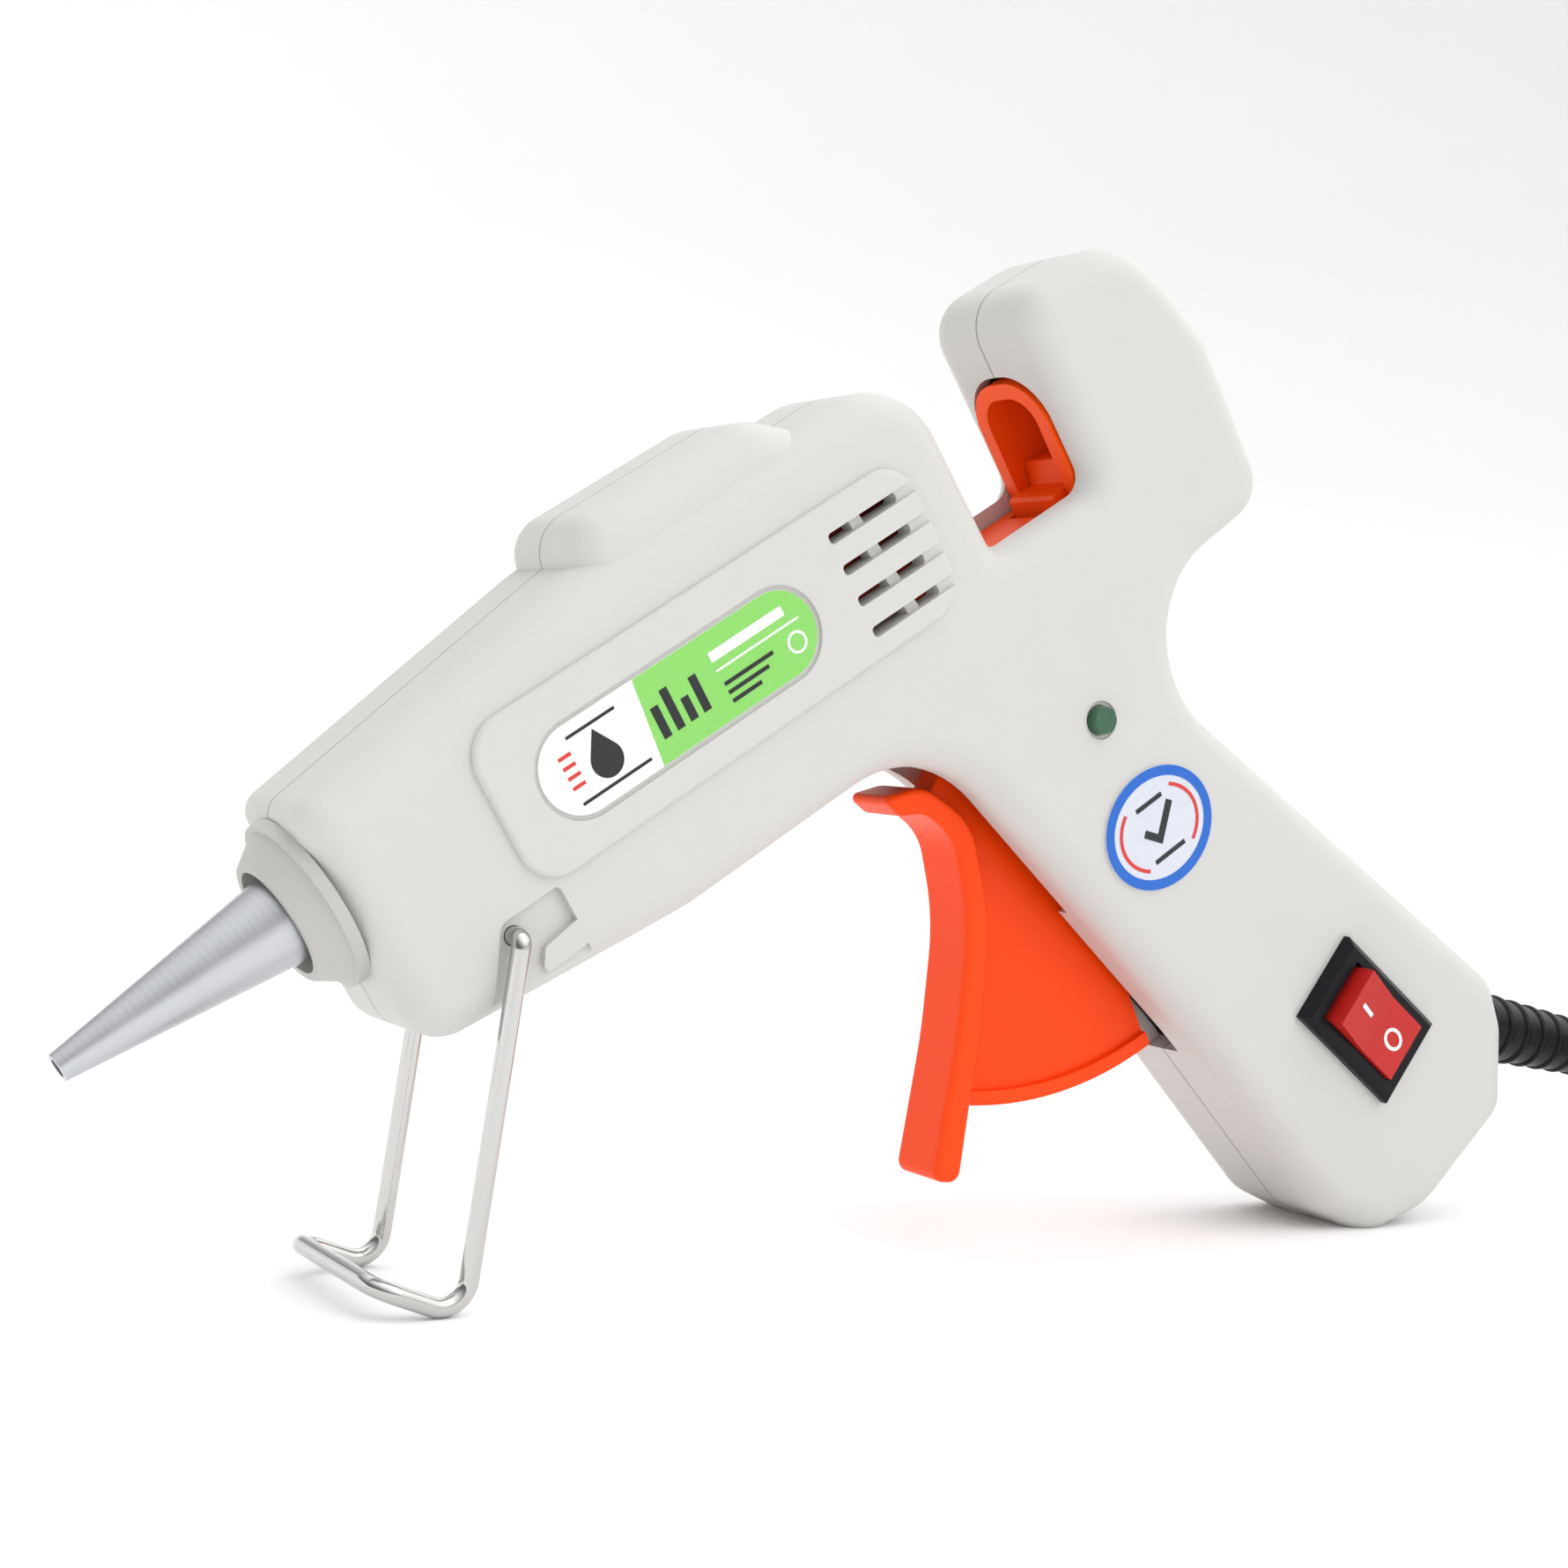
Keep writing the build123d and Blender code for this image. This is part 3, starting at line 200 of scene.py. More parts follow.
# Polycarbonate rocker, red and slightly see-through, moulded with a fine matt top.
rocker_finish = finish_of("polycarbonate_red", "#BB211D", 0.34, 0.3, 0.006, drift=0.08, patch=3.0, IOR=1.58,
                          Specular_IOR_Level=0.25)
# Polycarbonate lens, deep green when unlit: clear gloss over a dark body.
lens_finish = finish_of("polycarbonate_lens_green", "#0F5230", 0.1, 0.5, 0.002, drift=0.25, patch=1.0,
                        spread=0.04, IOR=1.58, Coat_Weight=0.6, Coat_Roughness=0.04)
# Vinyl film, printed and laminated: flat gloss, the ink very even.
film_white = finish_of("vinyl_film_white", "#F6F6F5", 0.24, 0.7, 0.003, drift=0.01, patch=8.0, IOR=1.5)
film_green = finish_of("vinyl_ink_green", "#86CF63", 0.26, 0.7, 0.003, drift=0.03, patch=5.0, IOR=1.5)
film_black = finish_of("vinyl_ink_black", "#191B1E", 0.3, 0.7, 0.003, drift=0.1, patch=4.0, IOR=1.5)
film_red = finish_of("vinyl_ink_red", "#D2332C", 0.28, 0.7, 0.003, drift=0.05, patch=4.0, IOR=1.5)
film_blue = finish_of("vinyl_ink_blue", "#1162C4", 0.26, 0.7, 0.003, drift=0.05, patch=4.0, IOR=1.5)
# Vinyl film with aluminium flake, the ground of the round sticker: a silver-white that glints.
film_silver = finish_of("vinyl_film_silver", "#D3D7E2", 0.3, 0.3, 0.006, drift=0.05, patch=3.0, IOR=1.5,
                        Metallic=0.25)
# Soft PVC, extruded as the jacket or moulded on: near black, dull with a soft sheen.
cord_finish = finish_of("soft_pvc_extruded", "#0B0C12", 0.46, 0.5, 0.012, drift=0.15, patch=12.0, IOR=1.53,
                        Specular_IOR_Level=0.3)
relief_finish = finish_of("soft_pvc_moulded", "#080910", 0.36, 0.45, 0.012, drift=0.15, patch=6.0, IOR=1.53,
                          Specular_IOR_Level=0.2)
plug_finish = finish_of("pvc_plug_moulded", "#17181B", 0.48, 0.4, 0.02, drift=0.12, patch=8.0, IOR=1.53)
# Inside the housing: moulded silicone, matt brick red; fired ceramic, dry grey; polyimide film, clear amber;
# woven glass sleeve, rough cream; lacquered resistor, beige with a soft gloss.
silicone_finish = finish_of("silicone_red_moulded", "#B4402C", 0.6, 0.5, 0.01, drift=0.08, patch=6.0, IOR=1.43)
ceramic_finish = finish_of("barium_titanate_fired", "#7A7672", 0.75, 0.2, 0.02, drift=0.1, patch=2.0, IOR=1.6)
amber_finish = finish_of("polyimide_film_amber", "#A8651E", 0.22, 0.6, 0.004, drift=0.1, patch=3.0, IOR=1.7)
sleeve_finish = finish_of("glass_sleeve_woven", "#C9C5BA", 0.7, 0.4, 0.05, drift=0.1, patch=2.0, IOR=1.5)
resistor_finish = finish_of("resistor_lacquer_beige", "#C9B48A", 0.4, 0.3, 0.01, drift=0.12, patch=1.5, IOR=1.5)


WAVE_SPACING = 0.314        # between a wave texture's bands at scale 1


# Aluminium, turned on a lathe and satin-blasted: fine rings round the axis. Real ones are about 0.2 mm apart,
# and these are 0.7 mm, so that they show.
def aluminium_turned():
    material, tree, shader, place, colour, bump = surface(
        "aluminium_turned_satin", "#C2C4C8", 0.33, 0.3, 0.006, drift=0.05, patch=6.0, Metallic=1.0)
    level = add(tree, "ShaderNodeMapping", None, {"Vector": place, "Rotation": (0.0, TILT, 0.0)}).outputs[0]
    rings = add(tree, "ShaderNodeTexWave", {"wave_type": "BANDS", "bands_direction": "X"},
                {"Vector": level, "Scale": WAVE_SPACING / (0.7 * MM), "Distortion": 0.4, "Detail": 2.0})
    ringed = add(tree, "ShaderNodeBump", None,
                 {"Strength": 1.0, "Distance": 0.0025 * MM, "Height": rings.outputs["Fac"],
                  "Normal": bump.outputs["Normal"]})
    tree.links.new(ringed.outputs["Normal"], shader.inputs["Normal"])
    return material


nozzle_finish = aluminium_turned()


# Hook-and-loop tape, woven polyamide: crossing threads about 0.6 mm apart.
def woven_tape():
    material, tree, shader, place, colour, bump = surface(
        "polyamide_tape_woven", "#1B1C20", 0.85, 0.3, 0.03, drift=0.2, patch=2.0, Sheen_Weight=0.35)
    rows = [add(tree, "ShaderNodeTexWave", {"wave_type": "BANDS", "bands_direction": way},
                {"Vector": place, "Scale": WAVE_SPACING / (0.6 * MM), "Distortion": 0.6}).outputs["Fac"]
            for way in "XY"]
    weave = add(tree, "ShaderNodeMath", {"operation": "MAXIMUM"}, {0: rows[0], 1: rows[1]}).outputs[0]
    threads = add(tree, "ShaderNodeBump", None, {"Strength": 1.0, "Distance": 0.12 * MM, "Height": weave})
    tree.links.new(threads.outputs["Normal"], shader.inputs["Normal"])
    return material


tape_finish = woven_tape()
CAD_FINISHES = {
    "housing_left": housing_finish, "housing_right": housing_finish, "nozzle": nozzle_finish,
    "nozzle_collar": collar_finish, "heater_barrel": cast_finish, "heater_film": amber_finish,
    "ptc_heater": ceramic_finish, "heater_wedge": cast_finish, "inlet_sleeve": silicone_finish,
    "sleeve_clip": steel_finish, "trigger": trigger_finish, "trigger_pivot_pin": steel_finish,
    "return_spring": steel_finish, "feed_carriage": feed_finish, "stick_clamp": feed_finish,
    "clamp_pin": steel_finish, "wire_stand": wire_finish, "switch_frame": bezel_finish,
    "switch_rocker": rocker_finish, "switch_terminals": brass_finish, "pilot_light": lens_finish,
    "light_resistor": resistor_finish, "name_label": film_white, "round_sticker": film_silver,
    "cord_clamp": collar_finish, "cord_clamp_screws": screw_finish, "cord_tail": cord_finish,
    "heater_leads": sleeve_finish, "plug_pins": pin_finish, "housing_screws": screw_finish,
}
for name, material in CAD_FINISHES.items():
    mesh = nodes[name].data
    mesh.materials.clear()
    mesh.materials.append(material)


# ---------------------------------------------------------------- cord, one line from the gun to its plug
CORD_DIAMETER = 5.4
RELIEF_MOUTH = (106.358, 0.0, 17.842)
CORD_ROUTE = [RELIEF_MOUTH, (119.2, 0.0, 15.5), (131.9, 1.2, 13.8)]
HANK_NEAR_X = 151.7         # centres of the folds
HANK_FAR_X = 198.3
HANK_Y = -13.6
COLUMNS = (16.5, 22.0)      # radii of the inner and the outer turns at the folds
LAYERS = (3.2, 8.65, 14.1)  # heights of the turns' centres
CELLS = [(1, 2), (1, 1), (1, 0), (0, 0), (0, 1), (0, 2)]    # column and layer of each turn
TURN_POINTS = 36
LAST_RISE = 7.85            # from the top layer to the plug's cord
LAST_FOLD = 16.45           # radius of the fold before the plug
LAST_FOLD_Y = 8.4
PLUG_X, PLUG_Y, PLUG_BASE = 150.0, -24.5, 17.35
PLUG_HEIGHT, PLUG_CORD_Z = 14.0, 4.6


def round_the_hank(share, radius):
    """Point of the hank's outline in plan, share of a turn from the near fold's end, going clockwise."""
    straight = HANK_FAR_X - HANK_NEAR_X
    fold = pi * COLUMNS[1]
    along = share * 2 * (straight + fold)
    if along < straight:
        return HANK_NEAR_X + along, HANK_Y + radius
    if along < straight + fold:
        angle = pi / 2 - (along - straight) / COLUMNS[1]
        return HANK_FAR_X + radius * cos(angle), HANK_Y + radius * sin(angle)
    along -= straight + fold
    if along < straight:
        return HANK_FAR_X - along, HANK_Y - radius
    angle = -pi / 2 - (along - straight) / COLUMNS[1]
    return HANK_NEAR_X + radius * cos(angle), HANK_Y + radius * sin(angle)


def eased(value):
    """0 to 1 with a soft start and end."""
    value = min(1.0, max(0.0, value))
    return value * value * (3 - 2 * value)


def hank_turns():
    """Five turns of the hank. Each turn moves to the next cell in its own sixth of the way round."""
    points = []
    for lap in range(5):
        column, layer = CELLS[lap]
        next_column, next_layer = CELLS[lap + 1]
        for step in range(TURN_POINTS):
            share = step / TURN_POINTS
            moved = eased((share - (5 - lap) / 6) * 6)
            radius = COLUMNS[column] + (COLUMNS[next_column] - COLUMNS[column]) * moved
            height = LAYERS[layer] + (LAYERS[next_layer] - LAYERS[layer]) * moved
            if lap == 4 and share > 0.9:
                height += LAST_RISE * eased((share - 0.9) / 0.28)
            points.append((*round_the_hank(share, radius), height))
    return points


def cord_points():
    """All control points, in millimetres: down from the gun, round the hank, over the top and into the plug."""
    points = CORD_ROUTE + [(138.6, 4.3, 13.9), (145.2, 7.5, 14.1)] + hank_turns()
    top = LAYERS[2] + LAST_RISE
    points += [(151.7, 2.9, 18.6), (157.0, 2.9, 20.6), (163.0, 2.9, 21.7), (170.0, 3.2, top), (177.0, 4.6, top),
               (184.0, 6.8, top), (191.0, 8.2, top)]
    for step in range(9):
        angle = pi / 2 - step * pi / 8
        y = LAST_FOLD_Y - LAST_FOLD + LAST_FOLD * sin(angle)
        points.append((HANK_FAR_X + LAST_FOLD * cos(angle), y, top))
    return points + [(192.0, PLUG_Y, top), (186.0, PLUG_Y, top)]


def lay_cord():
    """The cord as one smooth spline with its round section."""
    curve = bpy.data.curves.new("mains_cord", "CURVE")
    curve.dimensions = "3D"
    route = cord_points()
    spline = curve.splines.new("NURBS")
    spline.points.add(len(route) - 1)
    for point, place in zip(spline.points, route):
        point.co = (*(c * MM for c in place), 1.0)
    spline.order_u = 3
    spline.use_endpoint_u = True
    spline.resolution_u = 6
    curve.bevel_depth = CORD_DIAMETER / 2 * MM
    curve.bevel_resolution = 5
    curve.use_fill_caps = True
    curve.materials.append(cord_finish)
    cord = bpy.data.objects.new("mains_cord", curve)
    scene.collection.objects.link(cord)
    return cord


cord = lay_cord()


# ---------------------------------------------------------------- meshes
def keep(name, mesh, material, body, matrix=None, smooth=40.0):
    """Put a finished mesh into the scene at the origin, riding on its body."""
    if matrix is not None:
        mesh.transform(matrix)
    for polygon in mesh.polygons:
        polygon.use_smooth = True
    mesh.set_sharp_from_angle(angle=radians(smooth))
    if not mesh.materials:
        mesh.materials.append(material)
    piece = bpy.data.objects.new(name, mesh)
    scene.collection.objects.link(piece)
    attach(piece, body)
    return piece


def closed_mesh(name, work):
    """Turn a built shape's faces outwards and make it a mesh."""
    bmesh.ops.recalc_face_normals(work, faces=work.faces)
    mesh = bpy.data.meshes.new(name)
    work.to_mesh(mesh)
    work.free()
    return mesh


def flat_prints(name, shapes, thickness=0.035):
    """Thin printed shapes. Each is a closed outline of (x, z) in millimetres; Y is the sheet's thickness."""
    work = bmesh.new()
    for shape in shapes:
        front = [work.verts.new((x, -thickness, z)) for x, z in shape]
        back = [work.verts.new((x, 0, z)) for x, z in shape]
        count = len(shape)
        work.faces.new(front)
        work.faces.new(back[::-1])
        for i in range(count):
            j = (i + 1) % count
            work.faces.new([front[i], back[i], back[j], front[j]])
    return closed_mesh(name, work)


def arc(x, z, radius_x, radius_z, start, end, steps):
    """Points of an ellipse between two angles in degrees."""
    return [(x + radius_x * cos(radians(start + (end - start) * i / steps)),
             z + radius_z * sin(radians(start + (end - start) * i / steps))) for i in range(steps + 1)]


def band(x, z, outer, inner, start, end, steps=40):
    """Ring segment between two ellipses."""
    return arc(x, z, *outer, start, end, steps) + arc(x, z, *inner, end, start, steps)


def ring(x, z, outer, inner):
    """A whole ring as two halves."""
    return [band(x, z, outer, inner, 0, 180), band(x, z, outer, inner, 180, 360)]


def stroke(x0, z0, x1, z1, width):
    """A straight bar between two points."""
    run = Vector((x1 - x0, z1 - z0)).normalized() * (width / 2)
    return [(x0 - run.y, z0 + run.x), (x1 - run.y, z1 + run.x), (x1 + run.y, z1 - run.x), (x0 + run.y, z0 - run.x)]


# ---------------------------------------------------------------- printed label on the panel
LABEL_X, LABEL_Z = 62.9, -0.3
LABEL_HALF = 16.2           # half its length
LABEL_END = 4.29            # radius of its round ends


def on_skin(x, z, depth):
    """Matrix from a flat print, centred, to the near side of the standing gun."""
    return to_table @ Matrix.Translation((x, -depth, z))


label_skin = on_skin(LABEL_X, LABEL_Z, PANEL_SKIN - LABEL_SINK + FOIL)
inside_end = LABEL_END - 0.02       # the ink stops just short of the edge
green_field = ([(-4.6, -inside_end), (LABEL_HALF - LABEL_END, -inside_end)]
               + arc(LABEL_HALF - LABEL_END, 0, inside_end, inside_end, -90, 90, 24)[1:]
               + [(-3.6, inside_end)])
keep("label_green_field", flat_prints("label_green_field", [green_field]), film_green, "housing",
     label_skin)
drop = arc(-9.3, -0.7, 1.7, 1.7, -215, 35, 24) + [(-9.3, 2.5)]
dark_marks = [
    drop, stroke(-13.4, -3.0, -5.4, -3.0, 0.3), stroke(-12.0, 3.05, -6.4, 3.05, 0.3),
    stroke(-2.9, -2.2, -2.9, 1.0, 0.9), stroke(-1.3, -2.2, -1.3, 2.0, 0.9), stroke(0.3, -2.2, 0.3, 0.2, 0.9),
    stroke(1.9, -2.2, 1.9, 1.5, 0.9), stroke(4.6, -1.0, 10.6, -1.0, 0.4), stroke(4.6, -1.9, 9.6, -1.9, 0.4),
    stroke(4.6, -2.8, 8.2, -2.8, 0.4),
]
red_marks = [stroke(-13.6, -1.3 + i, -12.2, -1.3 + i, 0.35) for i in range(4)]
white_marks = [stroke(4.4, 1.9, 13.4, 1.9, 1.0), stroke(4.4, 0.5, 14.6, 0.5, 0.2)]
white_marks += ring(13.4, -1.5, (1.1, 1.1), (0.85, 0.85))
for name, shapes, ink in (("label_dark_print", dark_marks, film_black), ("label_red_print", red_marks, film_red),
                          ("label_white_print", white_marks, film_white)):
    keep(name, flat_prints(name, shapes, 0.06), ink, "housing", label_skin)

# ---------------------------------------------------------------- round sticker on the handle
STICKER_X, STICKER_Z = 105.3, -40.7
sticker_skin = on_skin(STICKER_X, STICKER_Z, HALF_WIDTH + FOIL)
keep("sticker_blue_ring", flat_prints("sticker_blue_ring", ring(0, 0, (7.28, 6.28), (6.2, 5.2)), 0.04), film_blue,
     "housing", sticker_skin)
red_arcs = [band(0, 0, (5.5, 4.5), (5.1, 4.1), 128, 232, 24), band(0, 0, (5.5, 4.5), (5.1, 4.1), -52, 52, 24)]
keep("sticker_red_arcs", flat_prints("sticker_red_arcs", red_arcs, 0.04), film_red, "housing",
     sticker_skin)
tick = [(-2.3, 0.1), (-1.7, 0.7), (-0.5, -0.5), (2.2, 2.2), (2.8, 1.6), (-0.5, -1.7)]
sticker_marks = [tick, stroke(-1.9, 3.0, 1.9, 3.0, 0.5), stroke(-2.2, -3.0, 2.2, -3.0, 0.5)]
keep("sticker_dark_print", flat_prints("sticker_dark_print", sticker_marks, 0.04), film_black, "housing",
     sticker_skin)

# ---------------------------------------------------------------- marks on the rocker
SWITCH_X, SWITCH_Z, SWITCH_ANGLE = 119.7, -75.0, 20.6
ROCKER_TILT = 6.0
ROCKER_AXIS = 7.4           # parting face to the rocker's axis
ROCKER_REACH = 5.6          # half the rocker's length
ROCKER_DIP = 0.6            # how much its middle lies below its ends
ROCKER_RISE = 2.1           # its middle over the side wall
MARK_PLACE = 2.9            # each mark from the rocker's middle
at_switch = to_table @ Matrix.Translation((SWITCH_X, 0, SWITCH_Z)) @ Matrix.Rotation(radians(-SWITCH_ANGLE), 4, "Y")
rock = (Matrix.Translation((0, -ROCKER_AXIS, 0)) @ Matrix.Rotation(radians(ROCKER_TILT), 4, "X")
        @ Matrix.Translation((0, ROCKER_AXIS, 0)))
face_lean = atan2(ROCKER_DIP, ROCKER_REACH)
for name, shapes, middle in (
        ("rocker_on_mark", [stroke(0, -1.15, 0, 1.15, 0.5)], MARK_PLACE),
        ("rocker_off_mark", ring(0, 0, (1.2, 1.45), (0.8, 1.05)), -MARK_PLACE)):
    way = 1 if middle > 0 else -1
    rise = ROCKER_RISE + ROCKER_DIP * MARK_PLACE / ROCKER_REACH
    flat = (Matrix.Translation((0, -HALF_WIDTH - rise + 0.02, middle))
            @ Matrix.Rotation(way * face_lean, 4, "X"))
    mark = flat_prints(name, shapes, 0.06)
    keep(name, mark, film_white, "rocker", at_switch @ rock @ flat)


# ---------------------------------------------------------------- ribbed strain relief
def ribbed_relief():
    """Tree: a tapered core with rings of rib along it, all sizes as inputs, along Z in metres."""
    tree = bpy.data.node_groups.new("ribbed_relief", "GeometryNodeTree")
    tree.interface.new_socket("Geometry", in_out="OUTPUT", socket_type="NodeSocketGeometry")
    sizes = {"Length": 0.02, "Root Radius": 0.004, "Tip Radius": 0.003, "Rib Radius": 0.0006}
    for key in sizes:
        tree.interface.new_socket(key, in_out="INPUT", socket_type="NodeSocketFloat")
    tree.interface.new_socket("Ribs", in_out="INPUT", socket_type="NodeSocketInt")
    tree.interface.new_socket("Finish", in_out="INPUT", socket_type="NodeSocketMaterial")
    given = add(tree, "NodeGroupInput").outputs
    core = add(tree, "GeometryNodeMeshCone", None,
               {"Vertices": 48, "Side Segments": 24, "Radius Top": given["Tip Radius"],
                "Radius Bottom": given["Root Radius"], "Depth": given["Length"]})
    top = add(tree, "ShaderNodeCombineXYZ", None, {"Z": given["Length"]}).outputs[0]
    line = add(tree, "GeometryNodeMeshLine", {"mode": "END_POINTS"}, {"Count": given["Ribs"], "Offset": top})
    order = add(tree, "GeometryNodeInputIndex").outputs[0]
    last = add(tree, "ShaderNodeMath", {"operation": "SUBTRACT"}, {0: given["Ribs"], 1: 1.0}).outputs[0]
    share = add(tree, "ShaderNodeMath", {"operation": "DIVIDE"}, {0: order, 1: last}).outputs[0]
    width = add(tree, "ShaderNodeMapRange", None,
                {"Value": share, "To Min": given["Root Radius"], "To Max": given["Tip Radius"]}).outputs[0]
    hoop = add(tree, "GeometryNodeCurvePrimitiveCircle", {"mode": "RADIUS"}, {"Resolution": 48, "Radius": 1.0})
    scale = add(tree, "ShaderNodeMath", {"operation": "DIVIDE"},
                {0: given["Rib Radius"], 1: given["Root Radius"]}).outputs[0]
    profile = add(tree, "GeometryNodeCurvePrimitiveCircle", {"mode": "RADIUS"},
                  {"Resolution": 12, "Radius": scale})
    rib = add(tree, "GeometryNodeCurveToMesh", None,
              {"Curve": hoop.outputs[0], "Profile Curve": profile.outputs[0]})
    flat = add(tree, "GeometryNodeTransform", None, {"Geometry": rib.outputs[0], "Scale": (1.0, 1.0, 1.6)})
    ribs = add(tree, "GeometryNodeInstanceOnPoints", None,
               {"Points": line.outputs[0], "Instance": flat.outputs[0], "Scale": width})
    joined = add(tree, "GeometryNodeJoinGeometry")
    tree.links.new(core.outputs[0], joined.inputs[0])
    tree.links.new(ribs.outputs[0], joined.inputs[0])
    real = add(tree, "GeometryNodeRealizeInstances", None, {0: joined.outputs[0]})
    painted = add(tree, "GeometryNodeSetMaterial", None, {0: real.outputs[0], "Material": given["Finish"]})
    out = add(tree, "NodeGroupOutput")
    tree.links.new(painted.outputs[0], out.inputs[0])
    return tree


def grown(name, tree, **values):
    """Plain mesh that a geometry tree makes with these inputs."""
    carrier = bpy.data.objects.new(name + "_carrier", bpy.data.meshes.new(name + "_carrier"))
    scene.collection.objects.link(carrier)
    modifier = carrier.modifiers.new("tree", "NODES")
    modifier.node_group = tree
    sockets = {item.name: item.identifier for item in tree.interface.items_tree if item.in_out == "INPUT"}
    for key, value in values.items():
        modifier[sockets[key.replace("_", " ")]] = value
    bpy.context.view_layer.update()
    evaluated = carrier.evaluated_get(bpy.context.evaluated_depsgraph_get())
    mesh = bpy.data.meshes.new_from_object(evaluated)
    mesh.name = name
    bpy.data.objects.remove(carrier)
    return mesh


EXIT_X, EXIT_Z, RELIEF_ANGLE, RELIEF_LENGTH = 138.6, -89.4, -43.5, 24.0
at_exit = to_table @ Matrix.Translation((EXIT_X, 0, EXIT_Z)) @ Matrix.Rotation(radians(-RELIEF_ANGLE), 4, "Y")
relief_tree = ribbed_relief()
along_x = Matrix.Rotation(pi / 2, 4, "Y")
relief_mesh = grown("relief", relief_tree, Length=RELIEF_LENGTH + 3.0, Root_Radius=4.05, Tip_Radius=3.1,
                    Rib_Radius=0.34, Ribs=10, Finish=relief_finish)
relief = keep("relief", relief_mesh, relief_finish, "housing",
              at_exit @ Matrix.Translation((-3.0, 0, 0)) @ along_x)
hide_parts("strain_relief")


# ---------------------------------------------------------------- plug, its tail and the tie
def power_of(value, exponent):
    """A power that keeps its sign, for sections between an ellipse and a rectangle."""
    return abs(value) ** exponent * (1 if value > 0 else -1)


def plug_body():
    """Moulded plug: wide at the pins, waisted behind, rounded all over."""
    around = 40
    waist_x, waist_run, drop = 16, 11, PLUG_HEIGHT / 2 - PLUG_CORD_Z
    sections = [(0.0, 12.2, 6.2), (0.8, 13.0, 7.0), (9.0, 13.0, 7.0), (waist_x, 11.6, 6.7), (22.0, 8.4, 5.6),
                (27.0, 6.2, 4.9), (30.6, 5.2, 4.5), (31.0, 4.7, 4.1)]
    work = bmesh.new()
    rings = []
    for x, half_wide, half_high in sections:
        middle = PLUG_HEIGHT / 2 - drop * min(1.0, max(0.0, x - waist_x) / waist_run)
        section = []
        for i in range(around):
            angle = 2 * pi * i / around
            y = half_wide * power_of(cos(angle), 0.5)
            z = middle + half_high * power_of(sin(angle), 0.5)
            section.append(work.verts.new((x, y, max(0.02, min(PLUG_HEIGHT - 0.02, z)))))
        rings.append(section)
    for low, high in zip(rings, rings[1:]):
        for i in range(around):
            j = (i + 1) % around
            work.faces.new([low[i], low[j], high[j], high[i]])
    work.faces.new(rings[0])
    work.faces.new(rings[-1][::-1])
    mesh = closed_mesh("plug", work)
    mesh.transform(Matrix.Translation((PLUG_X * MM, PLUG_Y * MM, PLUG_BASE * MM)) @ Matrix.Scale(MM, 4))
    return mesh


plug = keep("plug", plug_body(), plug_finish, "housing")
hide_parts("mains_plug")
tail_mesh = grown("plug_tail", relief_tree, Length=13.0, Root_Radius=3.6, Tip_Radius=3.0, Rib_Radius=0.28,
                  Ribs=7, Finish=plug_finish)
plug_tail = keep("plug_tail", tail_mesh, plug_finish, "housing",
                 Matrix.Translation(((PLUG_X + 29.8) * MM, PLUG_Y * MM, (PLUG_BASE + PLUG_CORD_Z) * MM))
                 @ Matrix.Scale(MM, 4) @ along_x)


def tie_band():
    """Tape round the hank: a flat loop with rounded corners and edges."""
    around = 64
    tape, edge, thinning = 4.4, 0.3, 0.12
    low, high = (Vector(corner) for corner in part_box("cord_tie"))
    middle = (low + high) / 2
    half = (high - low) / 2
    work = bmesh.new()
    outer, inner = [], []
    for x, grow in ((-tape, -thinning), (edge - tape, 0.0), (tape - edge, 0.0), (tape, -thinning)):
        for loops, depth in ((outer, 0.0), (inner, 0.45)):
            loop = []
            for i in range(around):
                angle = 2 * pi * i / around
                y = (half.y - (depth - grow) * MM) * power_of(cos(angle), 0.25)
                z = (half.z - (depth - grow) * MM) * power_of(sin(angle), 0.25)
                loop.append(work.verts.new(middle + Vector((x * MM, y, z))))
            loops.append(loop)
    edges = [(outer[0], inner[0]), (outer[-1], inner[-1])]
    strips = list(zip(outer, outer[1:])) + list(zip(inner, inner[1:])) + edges
    for a, b in strips:
        for i in range(around):
            j = (i + 1) % around
            work.faces.new([a[i], a[j], b[j], b[i]])
    return closed_mesh("hank_tie", work)


tie = keep("hank_tie", tie_band(), tape_finish, "housing")
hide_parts("cord_tie")
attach(cord, "housing")
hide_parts("cord", "cord_hank")


# ---------------------------------------------------------------- floor and light
BEHIND = 1.02               # direction of the sweep's highest part, in radians


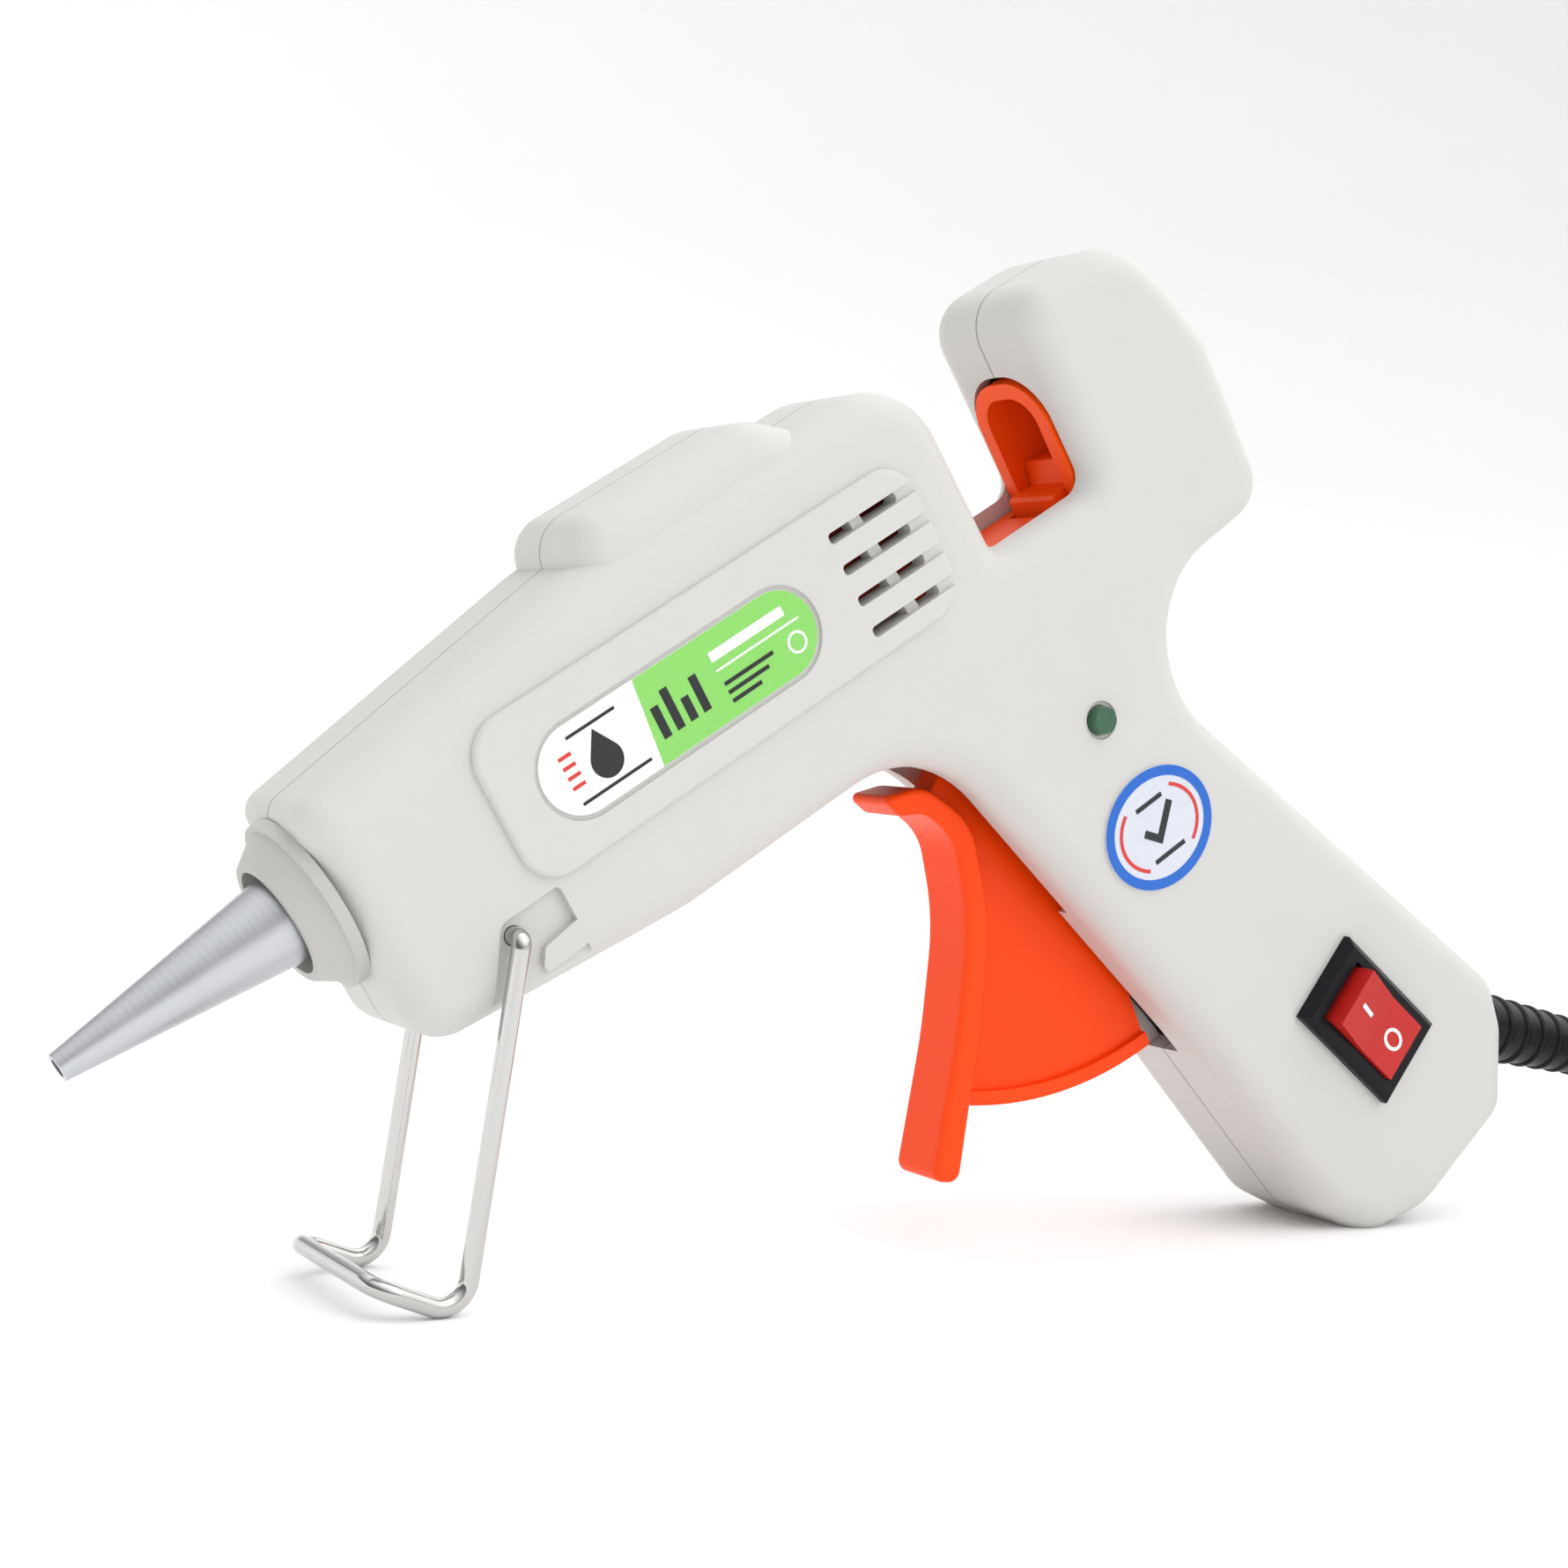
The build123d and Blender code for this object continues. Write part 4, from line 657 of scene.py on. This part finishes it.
def studio():
    """White ground that sweeps up all round, highest behind the gun."""
    profile = [(0.0, 0.0), (1.4, 0.0), (1.7, 0.03), (1.95, 0.12), (2.15, 0.3), (2.28, 0.55), (2.34, 0.9)]
    work = bmesh.new()
    around = 96
    low_side = 0.42         # height of the side that faces the camera, against the far side
    far = [low_side + (1 - low_side) * eased(2.0 * (0.5 + cos(2 * pi * i / around - BEHIND)))
           for i in range(around)]
    loops = [[work.verts.new((r * cos(2 * pi * i / around), r * sin(2 * pi * i / around), z * far[i]))
              for i in range(around)] for r, z in profile[1:]]
    work.faces.new(loops[0])
    for low, high in zip(loops, loops[1:]):
        for i in range(around):
            j = (i + 1) % around
            work.faces.new([low[j], low[i], high[i], high[j]])
    mesh = bpy.data.meshes.new("ground")
    work.to_mesh(mesh)
    work.free()
    for polygon in mesh.polygons:
        polygon.use_smooth = True
    ground = bpy.data.objects.new("ground", mesh)
    scene.collection.objects.link(ground)
    mesh.materials.append(finish_of("paper_sweep_white", "#FBFBFB", 0.9, 1.5, 0.02, drift=0.004, patch=400.0))


def soft_light(name, place, size, power, target=(0, 0, 0.05)):
    """Round area light that faces the gun."""
    lamp = bpy.data.lights.new(name, "AREA")
    lamp.shape = "DISK"
    lamp.size = size
    lamp.energy = power
    holder = bpy.data.objects.new(name, lamp)
    holder.location = place
    way = Vector(target) - Vector(place)
    holder.rotation_euler = way.to_track_quat("-Z", "Y").to_euler()
    scene.collection.objects.link(holder)


studio()
soft_light("top_light", (0.15, -0.1, 1.1), 0.8, 1.0)
soft_light("side_light", (0.2, -0.8, 0.9), 0.6, 1.0)
def studio_sky():
    """Bright overhead and on the right, falling to grey at the horizon, so that dark plastics stay dark."""
    world = bpy.data.worlds.new("studio")
    world.use_nodes = True
    tree = world.node_tree
    ray = add(tree, "ShaderNodeTexCoord").outputs["Generated"]
    facing = add(tree, "ShaderNodeVectorMath", {"operation": "DOT_PRODUCT"}, {0: ray, 1: (0.42, -0.1, 0.9)})
    level = add(tree, "ShaderNodeMapRange", {"interpolation_type": "SMOOTHSTEP"},
                {"Value": facing.outputs["Value"], "From Min": 0.0, "From Max": 0.9, "To Min": 0.22,
                 "To Max": 1.72})
    tree.links.new(level.outputs["Result"], tree.nodes["Background"].inputs["Strength"])
    tree.nodes["Background"].inputs["Color"].default_value = (1.0, 1.0, 1.0, 1.0)
    scene.world = world


studio_sky()
scene.view_settings.view_transform = "Standard"
